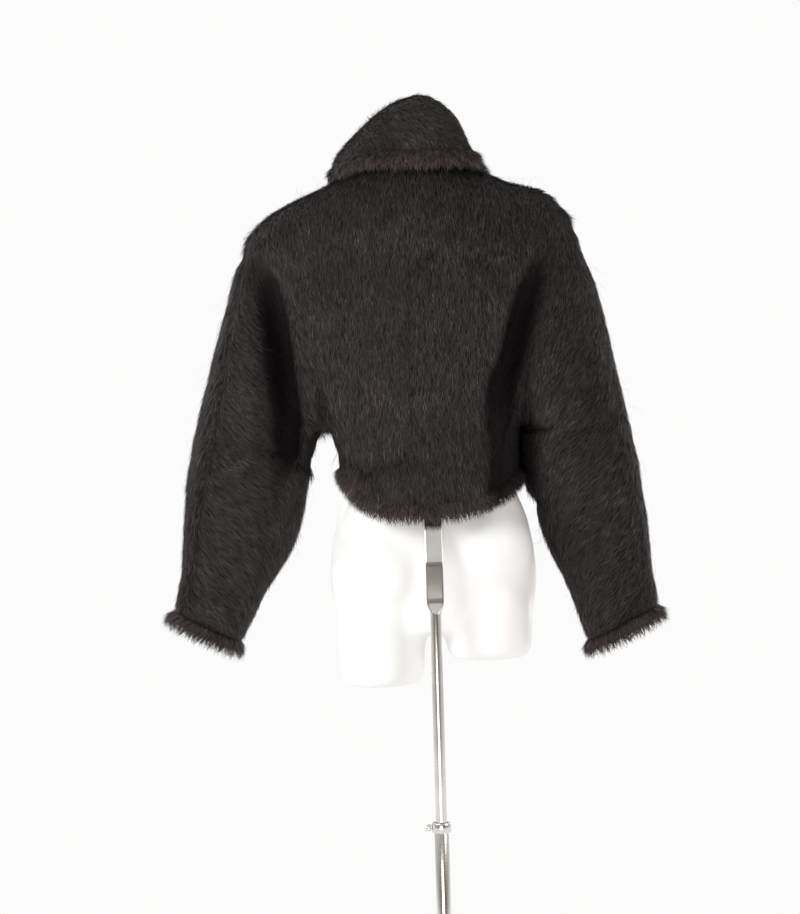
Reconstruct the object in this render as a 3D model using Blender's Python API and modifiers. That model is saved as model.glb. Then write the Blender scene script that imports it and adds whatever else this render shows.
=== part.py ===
"""A cropped mohair jacket on a limbless dress form with a telescopic stand.

Metres, +Z up.  The jacket's back faces +Y and its left side is +X.
The origin is the middle of the base plate's underside.
"""

from collections import namedtuple
from math import cos, exp, pi, radians, sin, sqrt

import bmesh
import bpy
from mathutils import Matrix, Vector

PART_NAME = "mohair_bolero_on_form"

# Cloth: a woven ground with its brushed pile
PILE_WALL = 0.006
SEAM_GAP = 0.00035

# Edge bands with pointed locks of pile
BAND_WIDTH = 0.013
BAND_RAISE = 0.001
LOCK_LENGTH = 0.009
LOCK_PITCH = 0.0125
LOCK_TIP_OUT = -0.0015
LOCK_TIP_IN = -0.0040
BAND_CLEARANCE = 0.0006
CORNER_EASE = 0.0012
SHARP_TURN = 8.0
SNAP_SHARE = 0.45

# Cut of the body
BACK_CENTRE_X = 0.025
FRONT_CENTRE_X = -0.020
FRONT_GAP = 0.0245
FRONT_CORNER_RADIUS = 0.060
FRONT_HEM_Z = 1.020
BACK_HEM_Z = 0.943
SIDE_HEM_RISE = {1: 0.054, -1: 0.050}
HEM_RISE_POWER = 3.2
FRONT_HEM_POWER = 1.5
SIDE_HEM_X = {1: 0.138, -1: 0.134}
SIDE_CURVE_POWER = 3.0
BODY_ROUNDNESS = 2.5
YOKE_ROUNDNESS = 2.3
SLEEVE_ROUNDNESS = 2.1

# Long folds between body and sleeve
FOLD_BODY_SIDE = 0.014
FOLD_SLEEVE_SIDE = 0.030
FRONT_FOLD_SHARE = 0.45
FOLD_SIDE_POWER = 6
FOLD_OVERARM_RISE = 4.0

# Neck seam
NECK_X = 0.008
NECK_HALF_WIDTH = 0.080
NECK_BACK = 0.068
NECK_FRONT = 0.076
NECK_Z = 1.450
NECK_FRONT_DROP = 0.060
FRONT_NECK_ANGLE = 150.0
NECK_DROP_POWER = 1.5

# Collar fold
COLLAR_FOLD_RADIUS = 0.010
COLLAR_BULGE = 0.008
COLLAR_EDGE_LIFT = 0.5
COLLAR_FOOT_SHARE = 0.3
COLLAR_FRONT_INSET = 0.0068
COLLAR_INSET_ANGLE = 15.0

# Grid of the jacket: row numbers are -1 shoulder seam, 0 yoke, 3 underarm, 4 hem, 7 cuff
TURN_ROWS = (-1.0, -0.76, -0.52, -0.26)
UPPER_ROWS = (0.0, 0.6, 1.2, 1.8, 2.3, 2.65, 2.87, 3.0)
HEM_ROWS = (3.3, 3.65, 4.0)
SLEEVE_ROWS = (3.3, 3.8, 4.4, 5.0, 5.7, 6.4, 7.0)
UNDERARM_ROW = 3.0
HEM_ROW = 4.0
CUFF_ROW = 7.0
FRONT_BAND_TOP_ROW = -0.3
STEP_IN = 0.04
HEM_STEP_IN = 0.08
FRONT_INNER_ROW = 3.7
FRONT_INNER_SHARE = 0.3
CUFF_STEP_IN = 0.20
ARCH_START_ROW = 1.6
NECK_COLUMNS = 4
SHOULDER_COLUMNS = 6
INNER_COLUMNS = 4
OUTER_STEPS = (0.15, 0.30, 0.45, 0.60, 0.76, 0.88, 1.0)
KNOT_SHARE = 0.40
OVERARM_SEAM = {1: 9, -1: 12}
COLLAR_COLUMNS = 26
COLLAR_ROWS = (0.0, 0.2, 0.35, 0.42, 0.48, 0.55, 0.70, 0.85, 1.0)
STAND_END = 0.35
FALL_START = 0.55

ArmRow = namedtuple("ArmRow", "name outer_z outer_x inner_z inner_x fold_x fold_depth depth centre_y")
LEFT_ARM = (
    ArmRow("yoke", 1.325, 0.270, 1.325, 0.185, 0.246, 0.000, 0.080, 0.000),
    ArmRow("blade", 1.250, 0.299, 1.250, 0.174, 0.222, 0.046, 0.080, 0.000),
    ArmRow("chest", 1.160, 0.324, 1.160, 0.164, 0.215, 0.066, 0.076, 0.000),
    ArmRow("underarm", 1.055, 0.352, 1.055, 0.155, 0.211, 0.046, 0.074, 0.000),
    ArmRow("elbow", 0.990, 0.366, 0.985, 0.180, 0.232, 0.010, 0.070, -0.006),
    ArmRow("forearm", 0.915, 0.375, 0.895, 0.203, 0.272, 0.000, 0.062, -0.016),
    ArmRow("wrist", 0.855, 0.380, 0.815, 0.252, 0.312, 0.000, 0.053, -0.026),
    ArmRow("cuff", 0.792, 0.395, 0.740, 0.292, 0.336, 0.000, 0.048, -0.034),
)
RIGHT_ARM = (
    ArmRow("yoke", 1.325, 0.236, 1.325, 0.200, 0.190, 0.000, 0.080, 0.000),
    ArmRow("blade", 1.250, 0.260, 1.250, 0.190, 0.168, 0.040, 0.080, 0.000),
    ArmRow("chest", 1.160, 0.279, 1.160, 0.152, 0.128, 0.050, 0.076, 0.000),
    ArmRow("underarm", 1.055, 0.301, 1.055, 0.141, 0.106, 0.026, 0.074, 0.000),
    ArmRow("elbow", 0.990, 0.314, 0.985, 0.149, 0.110, 0.000, 0.070, -0.002),
    ArmRow("forearm", 0.915, 0.325, 0.900, 0.163, 0.120, 0.000, 0.062, -0.012),
    ArmRow("wrist", 0.850, 0.332, 0.815, 0.200, 0.140, 0.000, 0.053, -0.022),
    ArmRow("cuff", 0.781, 0.341, 0.728, 0.230, 0.160, 0.000, 0.048, -0.030),
)
ARM = {1: LEFT_ARM, -1: RIGHT_ARM}

BodyRow = namedtuple("BodyRow", "name back front")
BODY = (
    BodyRow("yoke", 0.125, -0.122),
    BodyRow("blade", 0.134, -0.145),
    BodyRow("chest", 0.132, -0.148),
    BodyRow("underarm", 0.130, -0.138),
    BodyRow("hem", 0.134, -0.132),
)

ShoulderRow = namedtuple("ShoulderRow", "name x z")
SHOULDER = {
    1: (
        ShoulderRow("neck", 0.088, 1.450),
        ShoulderRow("slope", 0.146, 1.4225),
        ShoulderRow("web", 0.192, 1.403),
        ShoulderRow("tip", 0.222, 1.385),
        ShoulderRow("end", 0.241, 1.368),
    ),
    -1: (
        ShoulderRow("neck", 0.072, 1.450),
        ShoulderRow("slope", 0.124, 1.428),
        ShoulderRow("web", 0.178, 1.414),
        ShoulderRow("tip", 0.204, 1.395),
        ShoulderRow("end", 0.217, 1.376),
    ),
}
WEB_STATION = 2.0
END_STATION = 4.0

CollarRow = namedtuple("CollarRow", "angle fold_x fold_y fold_z edge_x edge_y edge_z")
COLLAR = (
    CollarRow(-150, -0.055, -0.085, 1.432, -0.086, -0.116, 1.403),
    CollarRow(-120, -0.073, -0.042, 1.474, -0.104, -0.060, 1.457),
    CollarRow(-90, -0.064, 0.004, 1.497, -0.090, 0.006, 1.471),
    CollarRow(-45, -0.046, 0.046, 1.532, -0.074, 0.088, 1.461),
    CollarRow(0, 0.004, 0.064, 1.553, 0.010, 0.112, 1.453),
    CollarRow(45, 0.062, 0.046, 1.532, 0.092, 0.086, 1.457),
    CollarRow(90, 0.101, 0.004, 1.498, 0.132, 0.006, 1.460),
    CollarRow(120, 0.100, -0.042, 1.468, 0.130, -0.058, 1.446),
    CollarRow(150, 0.070, -0.088, 1.430, 0.098, -0.116, 1.395),
)

FormRow = namedtuple("FormRow", "name z half_width back front")
FORM = (
    FormRow("crotch", 0.752, 0.139, 0.090, 0.058),
    FormRow("seat", 0.800, 0.151, 0.108, 0.075),
    FormRow("hip", 0.840, 0.155, 0.112, 0.085),
    FormRow("high hip", 0.920, 0.143, 0.104, 0.090),
    FormRow("belly", 0.985, 0.117, 0.088, 0.088),
    FormRow("waist", 1.060, 0.108, 0.080, 0.088),
    FormRow("ribs", 1.150, 0.118, 0.092, 0.105),
    FormRow("bust", 1.220, 0.132, 0.102, 0.118),
    FormRow("chest", 1.290, 0.146, 0.106, 0.098),
    FormRow("blade", 1.345, 0.160, 0.092, 0.072),
    FormRow("shoulder low", 1.378, 0.170, 0.066, 0.050),
    FormRow("shoulder mid", 1.3984, 0.168, 0.040, 0.032),
    FormRow("shoulder top", 1.4114, 0.150, 0.022, 0.020),
    FormRow("slope", 1.4219, 0.122, 0.024, 0.022),
    FormRow("neck foot", 1.4334, 0.082, 0.034, 0.032),
    FormRow("neck", 1.445, 0.056, 0.042, 0.040),
    FormRow("neck top", 1.475, 0.047, 0.043, 0.041),
)
FORM_SEGMENTS = 32
FORM_ROUNDNESS = 2.2

ThighRow = namedtuple("ThighRow", "name share half_width half_depth")
THIGH = (
    ThighRow("root", 0.0, 0.060, 0.072),
    ThighRow("swell", 0.35, 0.066, 0.078),
    ThighRow("end", 1.0, 0.063, 0.074),
)
THIGH_X = 0.080
THIGH_Y = 0.018
THIGH_TOP_Z = 0.815
THIGH_END_Z = {1: 0.677, -1: 0.713}
THIGH_SEGMENTS = 20

# Stand
POLE_Y = 0.124
ROD_RADIUS = 0.008
ROD_SEGMENTS = 16
TUBE_RADIUS = 0.0105
TUBE_CLEARANCE = 0.0003
TUBE_TOP_Z = 0.485
BASE_RADIUS = 0.200
BASE_THICKNESS = 0.006
BASE_SEGMENTS = 48
BASE_BEVEL = 0.0012
RING_BOTTOM_Z = 0.4735
RING_TOP_Z = 0.4875
RING_RADIUS = 0.0138
SCREW_RADIUS = 0.0048
SCREW_LENGTH = 0.009
SHARP_EDGE = 40.0
STAND_PIECES = ("base_plate", "stand_tube", "clamp_ring", "clamp_screw")

RodRow = namedtuple("RodRow", "name z y half_width half_depth")
ROD = (
    RodRow("strap top", 1.000, 0.0890, 0.0125, 0.0022),
    RodRow("strap seat", 0.985, 0.0910, 0.0125, 0.0022),
    RodRow("strap high hip", 0.920, 0.1076, 0.0125, 0.0022),
    RodRow("strap bend top", 0.872, 0.1215, 0.0125, 0.0022),
    RodRow("strap bend", 0.862, 0.1236, 0.0125, 0.0022),
    RodRow("strap foot", 0.805, POLE_Y, 0.0125, 0.0028),
    RodRow("round", 0.785, POLE_Y, ROD_RADIUS, ROD_RADIUS),
    RodRow("rod end", 0.250, POLE_Y, ROD_RADIUS, ROD_RADIUS),
)


def clear_scene():
    """Remove every object that the start file holds."""
    for item in list(bpy.data.objects):
        bpy.data.objects.remove(item, do_unlink=True)


def finish(name, rgb, roughness, metallic=0.0):
    """Make one Principled finish."""
    made = bpy.data.materials.new(name)
    made.use_nodes = True
    shader = made.node_tree.nodes["Principled BSDF"]
    shader.inputs["Base Color"].default_value = (*rgb, 1.0)
    shader.inputs["Roughness"].default_value = roughness
    shader.inputs["Metallic"].default_value = metallic
    return made


def collection(name):
    """Make a collection in the scene."""
    made = bpy.data.collections.new(name)
    bpy.context.scene.collection.children.link(made)
    return made


def add_object(name, bm, group, material):
    """Turn a bmesh into a named object with outward faces."""
    bmesh.ops.recalc_face_normals(bm, faces=bm.faces)
    mesh = bpy.data.meshes.new(name)
    bm.to_mesh(mesh)
    bm.free()
    if material:
        mesh.materials.append(material)
    made = bpy.data.objects.new(name, mesh)
    group.objects.link(made)
    return made


def shade_round(made):
    """Shade a round piece smooth up to its sharp edges."""
    made.data.shade_smooth()
    made.data.set_sharp_from_angle(angle=radians(SHARP_EDGE))


def hang_on_slide(group):
    """Put an empty on the axis of the height slide and hang all that rises with the rod on it."""
    slide = bpy.data.objects.new("height_slide", None)
    slide.location = (0.0, POLE_Y, TUBE_TOP_Z)
    group.objects.link(slide)
    for made in list(group.objects):
        if made is not slide and made.name not in STAND_PIECES:
            made.parent = slide
            made.matrix_parent_inverse = Matrix.Translation(slide.location).inverted()


def lerp(a, b, share):
    """Mix two numbers or vectors."""
    return a + (b - a) * share


def spline(values, station):
    """Read a smooth curve through evenly numbered values."""
    last = len(values) - 1
    i = max(0, min(int(station), last - 1))
    f = station - i
    p1, p2 = values[i], values[i + 1]
    p0 = values[i - 1] if i > 0 else 2 * p1 - p2
    p3 = values[i + 2] if i + 2 <= last else 2 * p2 - p1
    bend = (2 * p0 - 5 * p1 + 4 * p2 - p3) * f * f + (3 * p1 - p0 - 3 * p2 + p3) * f ** 3
    return p1 + 0.5 * ((p2 - p0) * f + bend)


def column(table, name, station):
    """Read one named column of a table at a station."""
    return spline([getattr(row, name) for row in table], station)


def dome(share, roundness):
    """Height of a rounded half section at a share of its half width."""
    inside = max(0.0, 1.0 - min(1.0, abs(share)) ** roundness)
    return inside ** (1.0 / roundness)


def neck_point(angle):
    """A point of the neck seam; the angle runs from the centre back, left positive."""
    turn = radians(angle)
    depth = NECK_BACK if cos(turn) > 0 else NECK_FRONT
    drop = NECK_FRONT_DROP * max(0.0, -cos(turn)) ** NECK_DROP_POWER
    return Vector((NECK_X + NECK_HALF_WIDTH * sin(turn), depth * cos(turn), NECK_Z - drop))


def shoulder_point(side, station):
    """A point of the shoulder line, station 0 at the neck and 4 at its end."""
    table = SHOULDER[side]
    return Vector((side * column(table, "x", station), 0.0, column(table, "z", station)))


def arch(row):
    """Share by which body and sleeve have parted, 1 at the underarm."""
    share = (row - ARCH_START_ROW) / (UNDERARM_ROW - ARCH_START_ROW)
    share = max(0.0, min(1.0, share))
    return 1.0 - sqrt(1.0 - share * share)


def fold_dip(side, face, row, x):
    """Depth of the long fold at a place of the upper sections."""
    table = ARM[side]
    offset = x - column(table, "fold_x", row)
    width = FOLD_BODY_SIDE if offset < 0 else FOLD_SLEEVE_SIDE
    share = 1.0 if face > 0 else FRONT_FOLD_SHARE
    return share * max(0.0, column(table, "fold_depth", row)) * exp(-((offset / width) ** 2))


def body_depth(face, row):
    """Signed depth of the body at its centre line."""
    return column(BODY, "back" if face > 0 else "front", row)


def centre_x(side, face):
    """The centre line's x in the side's own direction."""
    return side * (BACK_CENTRE_X if face > 0 else FRONT_CENTRE_X)


def upper_depth(side, face, row, x):
    """Signed depth of the undivided section over the underarm."""
    middle = centre_x(side, face)
    outer = column(ARM[side], "outer_x", row)
    return body_depth(face, row) * dome((x - middle) / (outer - middle), YOKE_ROUNDNESS)


def side_x(side, row):
    """Outermost x of the body patch: the web line above, the side seam below."""
    if row <= UNDERARM_ROW:
        return column(ARM[side], "inner_x", row)
    top = ARM[side][int(UNDERARM_ROW)].inner_x
    fall = (HEM_ROW - row) ** SIDE_CURVE_POWER
    return SIDE_HEM_X[side] + (top - SIDE_HEM_X[side]) * fall


def front_edge_x(z):
    """Distance of the front edge from the centre line, rounded at the hem."""
    drop = FRONT_HEM_Z + FRONT_CORNER_RADIUS - z
    share = max(0.0, min(1.0, drop / FRONT_CORNER_RADIUS))
    return FRONT_GAP + FRONT_CORNER_RADIUS * (1.0 - sqrt(1.0 - share * share))


def hem_z(side, face, share):
    """Height of the hem seam from the centre line, 0, to the side seam, 1."""
    side_z = BACK_HEM_Z + SIDE_HEM_RISE[side]
    if face > 0:
        return lerp(BACK_HEM_Z, side_z, share ** HEM_RISE_POWER)
    return lerp(FRONT_HEM_Z, side_z, share ** FRONT_HEM_POWER)


def body_section(side, face, row, s):
    """A point of the body below the yoke; s runs from the centre line to the side."""
    edge = side_x(side, row)
    middle = centre_x(side, face)
    share = 0.5 * s + 0.5 * sin(0.5 * pi * s)
    level = column(ARM[side], "inner_z", min(row, UNDERARM_ROW))
    fall = max(0.0, row - UNDERARM_ROW)
    z = lerp(level, hem_z(side, face, share), fall)
    start = middle
    if face < 0:
        start += front_edge_x(lerp(level, FRONT_HEM_Z, fall))
    x = lerp(start, edge, share)
    depth = body_depth(face, row) * dome((x - middle) / (edge - middle), BODY_ROUNDNESS)
    if row < UNDERARM_ROW:
        depth = lerp(upper_depth(side, face, row, x), depth, arch(row))
    depth -= face * fold_dip(side, face, row, x) * (1.0 - s ** FOLD_SIDE_POWER * arch(row))
    return Vector((side * x, depth, z))


def yoke_turn(top, section, row):
    """Carry the surface from the shoulder seam round to the yoke section."""
    turn = 0.5 * pi * (row + 1.0)
    flat = lerp(top, section, sin(turn))
    return Vector((flat.x, flat.y, lerp(top.z, section.z, 1.0 - cos(turn))))


def body_point(side, face, row, s):
    """A point of the body patch, from shoulder seam to hem."""
    if row >= 0.0:
        return body_section(side, face, row, s)
    neck_share = NECK_COLUMNS / (NECK_COLUMNS + SHOULDER_COLUMNS)
    if s <= neck_share:
        start = 0.0 if face > 0 else FRONT_NECK_ANGLE
        top = neck_point(side * lerp(start, 90.0, s / neck_share))
    else:
        top = shoulder_point(side, WEB_STATION * (s - neck_share) / (1.0 - neck_share))
    return yoke_turn(top, body_section(side, face, 0.0, s), row)


def sleeve_steps():
    """Shares of the way from the web line to the overarm, with the fold in between."""
    inner = [0.5 - 0.5 * cos(pi * i / INNER_COLUMNS) for i in range(INNER_COLUMNS + 1)]
    outer = [1.0 + 0.5 - 0.5 * cos(pi * g) for g in OUTER_STEPS]
    return inner + outer


def sleeve_x(side, row, step):
    """x of a sleeve column: step 0 web line, 1 fold, 2 overarm."""
    table = ARM[side]
    inner = column(table, "inner_x", row)
    outer = column(table, "outer_x", row)
    knot = column(table, "fold_x", row)
    if knot <= inner:
        knot = lerp(inner, outer, KNOT_SHARE)
    if step <= 1.0:
        return lerp(inner, knot, step)
    return lerp(knot, outer, step - 1.0)


def sleeve_section(side, face, row, step):
    """A point of a sleeve section below the yoke."""
    table = ARM[side]
    x = sleeve_x(side, row, step)
    inner = column(table, "inner_x", row)
    outer = column(table, "outer_x", row)
    share = (x - inner) / (outer - inner)
    z = lerp(column(table, "inner_z", row), column(table, "outer_z", row), share)
    middle_y = column(table, "centre_y", row) if row > UNDERARM_ROW else 0.0
    depth = face * column(table, "depth", row) * dome(2.0 * share - 1.0, SLEEVE_ROUNDNESS)
    parted = arch(row)
    if row < UNDERARM_ROW:
        depth = lerp(upper_depth(side, face, row, x), depth, parted)
    keep = 1.0 - (1.0 - min(1.0, step)) ** 2 * parted
    keep *= min(1.0, FOLD_OVERARM_RISE * (1.0 - share))
    depth -= face * fold_dip(side, face, row, x) * keep
    return Vector((side * x, middle_y + depth, z))


def sleeve_point(side, face, row, step):
    """A point of the sleeve patch, from shoulder seam to cuff."""
    if row >= 0.0:
        return sleeve_section(side, face, row, step)
    station = lerp(WEB_STATION, END_STATION, 0.5 * step)
    return yoke_turn(shoulder_point(side, station), sleeve_section(side, face, 0.0, step), row)


def sleeve_loop(side):
    """Columns round the sleeve as (face, step): back from web to overarm, then the front."""
    steps = sleeve_steps()
    back = [(1, step) for step in steps]
    front = [(-1, step) for step in reversed(steps[:-1])]
    return back + front


PANELS = {
    (1, 1): "back_left",
    (-1, 1): "back_right",
    (1, -1): "front_left",
    (-1, -1): "front_right",
}


class JacketSurface:
    """The jacket's outer surface, one shared mesh whose faces know their panel."""

    def __init__(self):
        self.points = []
        self.faces = []
        self.index = {}
        for side in (1, -1):
            self.add_body(side)
            self.add_sleeve(side)
        self.normals = self.vertex_normals()

    def vertex(self, point):
        """Number of the vertex at a point, shared with any seam neighbour."""
        key = tuple(round(value * 1e6) for value in point)
        if key not in self.index:
            self.index[key] = len(self.points)
            self.points.append(point)
        return self.index[key]

    def add_grid(self, rows, outward, panel_of):
        """Add quads between rows of points."""
        numbers = [[self.vertex(point) for point in row] for row in rows]
        for upper, lower in zip(numbers, numbers[1:]):
            for i in range(len(upper) - 1):
                loop = [upper[i], upper[i + 1], lower[i + 1], lower[i]]
                loop = loop if outward else loop[::-1]
                loop = [v for k, v in enumerate(loop) if v != loop[k - 1]]
                if len(loop) > 2:
                    self.faces.append((loop, panel_of(i)))

    def add_body(self, side):
        """Add the back and the front of one half of the body."""
        count = NECK_COLUMNS + SHOULDER_COLUMNS
        for face in (1, -1):
            rows = [
                [body_point(side, face, row, i / count) for i in range(count + 1)]
                for row in TURN_ROWS + UPPER_ROWS + HEM_ROWS
            ]
            panel = PANELS[side, face]
            self.add_grid(rows, side * face > 0, lambda i, panel=panel: panel)

    def add_sleeve(self, side):
        """Add one sleeve, whose overarm seam parts back from front."""
        loop = sleeve_loop(side)
        rows = [
            [sleeve_point(side, face, row, step) for face, step in loop]
            for row in TURN_ROWS + UPPER_ROWS + SLEEVE_ROWS
        ]
        seam = OVERARM_SEAM[side]
        self.add_grid(rows, side > 0, lambda i: PANELS[side, 1 if i < seam else -1])

    def vertex_normals(self):
        """Area-weighted normals over all seams."""
        sums = [Vector((0.0, 0.0, 0.0)) for _ in self.points]
        for loop, _ in self.faces:
            normal = self.face_normal(loop)
            for v in loop:
                sums[v] += normal
        return [value.normalized() for value in sums]

    def face_normal(self, loop):
        """Normal of a face, as long as twice its area."""
        normal = Vector((0.0, 0.0, 0.0))
        for k, v in enumerate(loop):
            normal += self.points[loop[k - 1]].cross(self.points[v])
        return normal

    def trims(self, faces):
        """Small moves that pull a panel's edge back from its seams."""
        count = {}
        inward = {}
        for loop in faces:
            centre = sum((self.points[v] for v in loop), Vector()) / len(loop)
            for k, v in enumerate(loop):
                edge = frozenset((loop[k - 1], v))
                count[edge] = count.get(edge, 0) + 1
                inward[v] = inward.get(v, Vector()) + (centre - self.points[v])
        border = [edge for edge, uses in count.items() if uses == 1]
        moves = {}
        for edge in border:
            for v in edge:
                flat = inward[v] - self.normals[v] * inward[v].dot(self.normals[v])
                moves[v] = flat.normalized() * (0.5 * SEAM_GAP)
        return border, moves

    def panel_mesh(self, panel):
        """Closed wall of one panel: its faces, the same set in, and a rim."""
        faces = [loop for loop, name in self.faces if name == panel]
        border, moves = self.trims(faces)
        bm = bmesh.new()
        outer = {}
        inner = {}
        for v in sorted({v for loop in faces for v in loop}):
            place = self.points[v] + moves.get(v, Vector())
            outer[v] = bm.verts.new(place)
            inner[v] = bm.verts.new(place - self.normals[v] * PILE_WALL)
        for loop in faces:
            bm.faces.new([outer[v] for v in loop])
            bm.faces.new([inner[v] for v in reversed(loop)])
        for edge in border:
            low, high = sorted(edge)
            bm.faces.new((outer[low], outer[high], inner[low]))
            bm.faces.new((outer[high], inner[high], inner[low]))
        return bm


def grid_wall(rows, inner_rows, closed):
    """Closed wall between an outer and an inner grid; closed joins last column to first."""
    bm = bmesh.new()
    outer = [[bm.verts.new(p) for p in row] for row in rows]
    inner = [[bm.verts.new(p) for p in row] for row in inner_rows]
    count = len(rows[0])
    span = count if closed else count - 1
    for grid in (outer, inner):
        for upper, lower in zip(grid, grid[1:]):
            for i in range(span):
                j = (i + 1) % count
                bm.faces.new((upper[i], upper[j], lower[j], lower[i]))
    for i in range(span):
        j = (i + 1) % count
        bm.faces.new((outer[0][i], outer[0][j], inner[0][j], inner[0][i]))
        bm.faces.new((outer[-1][i], outer[-1][j], inner[-1][j], inner[-1][i]))
    if not closed:
        for k in range(len(rows) - 1):
            for i in (0, count - 1):
                bm.faces.new((outer[k][i], outer[k + 1][i], inner[k + 1][i], inner[k][i]))
    return bm


EdgePoint = namedtuple("EdgePoint", "place out normal")


def edge_point(place, within, along, guess):
    """Frame of a cloth edge: the way out of the cloth and its outward normal."""
    tangent = along.normalized()
    out = place - within
    out = (out - tangent * out.dot(tangent)).normalized()
    normal = tangent.cross(out).normalized()
    if normal.dot(guess) < 0:
        normal = -normal
    return EdgePoint(place, out, normal)


def sharp_turns(loop):
    """Numbers of the edge points where the edge turns sharply."""
    made = []
    for k in range(1, len(loop) - 1):
        before = loop[k].place - loop[k - 1].place
        after = loop[k + 1].place - loop[k].place
        if before.angle(after) > radians(SHARP_TURN):
            made.append(k)
    return made


def resample(path, pitch, closed):
    """Place edge points at an even pitch, an even number of steps in all, one on each sharp turn."""
    loop = path + path[:1] if closed else path
    lengths = [0.0]
    for a, b in zip(loop, loop[1:]):
        lengths.append(lengths[-1] + (b.place - a.place).length)
    steps = 2 * max(2, round(lengths[-1] / pitch))
    step = lengths[-1] / steps
    wanted = [step * i for i in range(steps if closed else steps + 1)]
    for k in sharp_turns(loop):
        nearest = min(range(len(wanted)), key=lambda i: abs(wanted[i] - lengths[k]))
        if abs(wanted[nearest] - lengths[k]) < SNAP_SHARE * step:
            wanted[nearest] = lengths[k]
    made = []
    k = 0
    for want in wanted:
        while k < len(lengths) - 2 and lengths[k + 1] < want:
            k += 1
        share = (want - lengths[k]) / max(1e-9, lengths[k + 1] - lengths[k])
        a, b = loop[k], loop[k + 1]
        made.append(EdgePoint(*(lerp(getattr(a, f), getattr(b, f), share) for f in EdgePoint._fields)))
    return made


def band_mesh(path, closed):
    """Edge band: a strip on from the cloth's edge that ends in pointed locks."""
    points = resample(path, LOCK_PITCH, closed)
    outer = [[], []]
    inner = [[], []]
    for i, point in enumerate(points):
        tip = i % 2 == 1
        reach = BAND_WIDTH + (LOCK_LENGTH if tip else 0.0)
        top = point.place + point.out * BAND_CLEARANCE
        end = point.place + point.out * reach
        outer[0].append(top + point.normal * BAND_RAISE)
        inner[0].append(top - point.normal * PILE_WALL)
        outer[1].append(end + point.normal * (LOCK_TIP_OUT if tip else BAND_RAISE))
        inner[1].append(end + point.normal * (LOCK_TIP_IN if tip else -PILE_WALL))
    return grid_wall(outer, inner, closed)


def along_path(places, within, guesses):
    """Edge points of a row of places, with the tangents taken between neighbours."""
    made = []
    last = len(places) - 1
    for i, place in enumerate(places):
        along = places[min(i + 1, last)] - places[max(i - 1, 0)]
        made.append(edge_point(place, within[i], along, guesses[i]))
    return made


def hem_path(side):
    """Edge from the centre back along the hem and up the front edge to the neck."""
    places = []
    within = []
    count = NECK_COLUMNS + SHOULDER_COLUMNS
    columns = [(1, i / count) for i in range(count + 1)]
    columns += [(-1, i / count) for i in range(count - 1, -1, -1)]
    for face, s in columns:
        places.append(body_point(side, face, HEM_ROW, s))
        if face > 0:
            within.append(body_point(side, face, HEM_ROW - HEM_STEP_IN, s))
        else:
            within.append(body_point(side, face, FRONT_INNER_ROW, lerp(s, 1.0, FRONT_INNER_SHARE)))
    rows = [row for row in TURN_ROWS + UPPER_ROWS + HEM_ROWS if FRONT_BAND_TOP_ROW < row < HEM_ROW]
    for row in reversed(rows):
        places.append(body_point(side, -1, row, 0.0))
        within.append(body_point(side, -1, row, STEP_IN))
    places[0] = places[0] + Vector((side * SEAM_GAP, 0.0, 0.0))
    guesses = [Vector((p.x, p.y, 0.0)) for p in places]
    made = along_path(places, within, guesses)
    return [eased_corner(point) for point in made]


def eased_corner(point):
    """Set the band a little further off along the rounded front corner."""
    if point.place.y < 0.0 and point.place.z < FRONT_HEM_Z + FRONT_CORNER_RADIUS:
        return point._replace(place=point.place + point.out * CORNER_EASE)
    return point


def cuff_path(side):
    """Edge round one cuff."""
    loop = sleeve_loop(side)[:-1]
    places = [sleeve_point(side, face, CUFF_ROW, step) for face, step in loop]
    within = [sleeve_point(side, face, CUFF_ROW - CUFF_STEP_IN, step) for face, step in loop]
    middle = sum(places, Vector()) / len(places)
    made = []
    for i, place in enumerate(places):
        along = places[(i + 1) % len(places)] - places[i - 1]
        made.append(edge_point(place, within[i], along, place - middle))
    return made


def collar_column(angle):
    """Key points of the collar at an angle: neck seam, fold, edge and the way out."""
    angles = [row.angle for row in COLLAR]
    k = max(i for i, value in enumerate(angles[:-1]) if value <= angle)
    station = k + (angle - angles[k]) / (angles[k + 1] - angles[k])
    fold = Vector([column(COLLAR, name, station) for name in ("fold_x", "fold_y", "fold_z")])
    edge = Vector([column(COLLAR, name, station) for name in ("edge_x", "edge_y", "edge_z")])
    out = Vector((sin(radians(angle)), cos(radians(angle)), 0.0))
    inset = COLLAR_FRONT_INSET * max(0.0, min(1.0, (abs(angle) - 90.0) / COLLAR_INSET_ANGLE))
    seam = neck_point(angle) + Vector((0.0, 0.0, SEAM_GAP)) - out * inset
    return seam, fold, edge, out


def collar_point(angle, w):
    """A point of the collar's outside: w 0 at the neck seam, 1 at the free edge."""
    seam, fold, edge, out = collar_column(angle)
    up = Vector((0.0, 0.0, 1.0))
    hub = fold - up * COLLAR_FOLD_RADIUS
    if w <= STAND_END:
        return lerp(seam, hub - out * COLLAR_FOLD_RADIUS, w / STAND_END)
    if w <= FALL_START:
        turn = pi * (1.0 - (w - STAND_END) / (FALL_START - STAND_END))
        return hub + (out * cos(turn) + up * sin(turn)) * COLLAR_FOLD_RADIUS
    share = (w - FALL_START) / (1.0 - FALL_START)
    swell = (out + up) * (COLLAR_BULGE * sin(pi * share) * sqrt(0.5))
    return lerp(hub + out * COLLAR_FOLD_RADIUS, edge, share) + swell


def collar_angles(count):
    """Even angles from the right front end to the left."""
    return [lerp(-FRONT_NECK_ANGLE, FRONT_NECK_ANGLE, i / count) for i in range(count + 1)]


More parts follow.
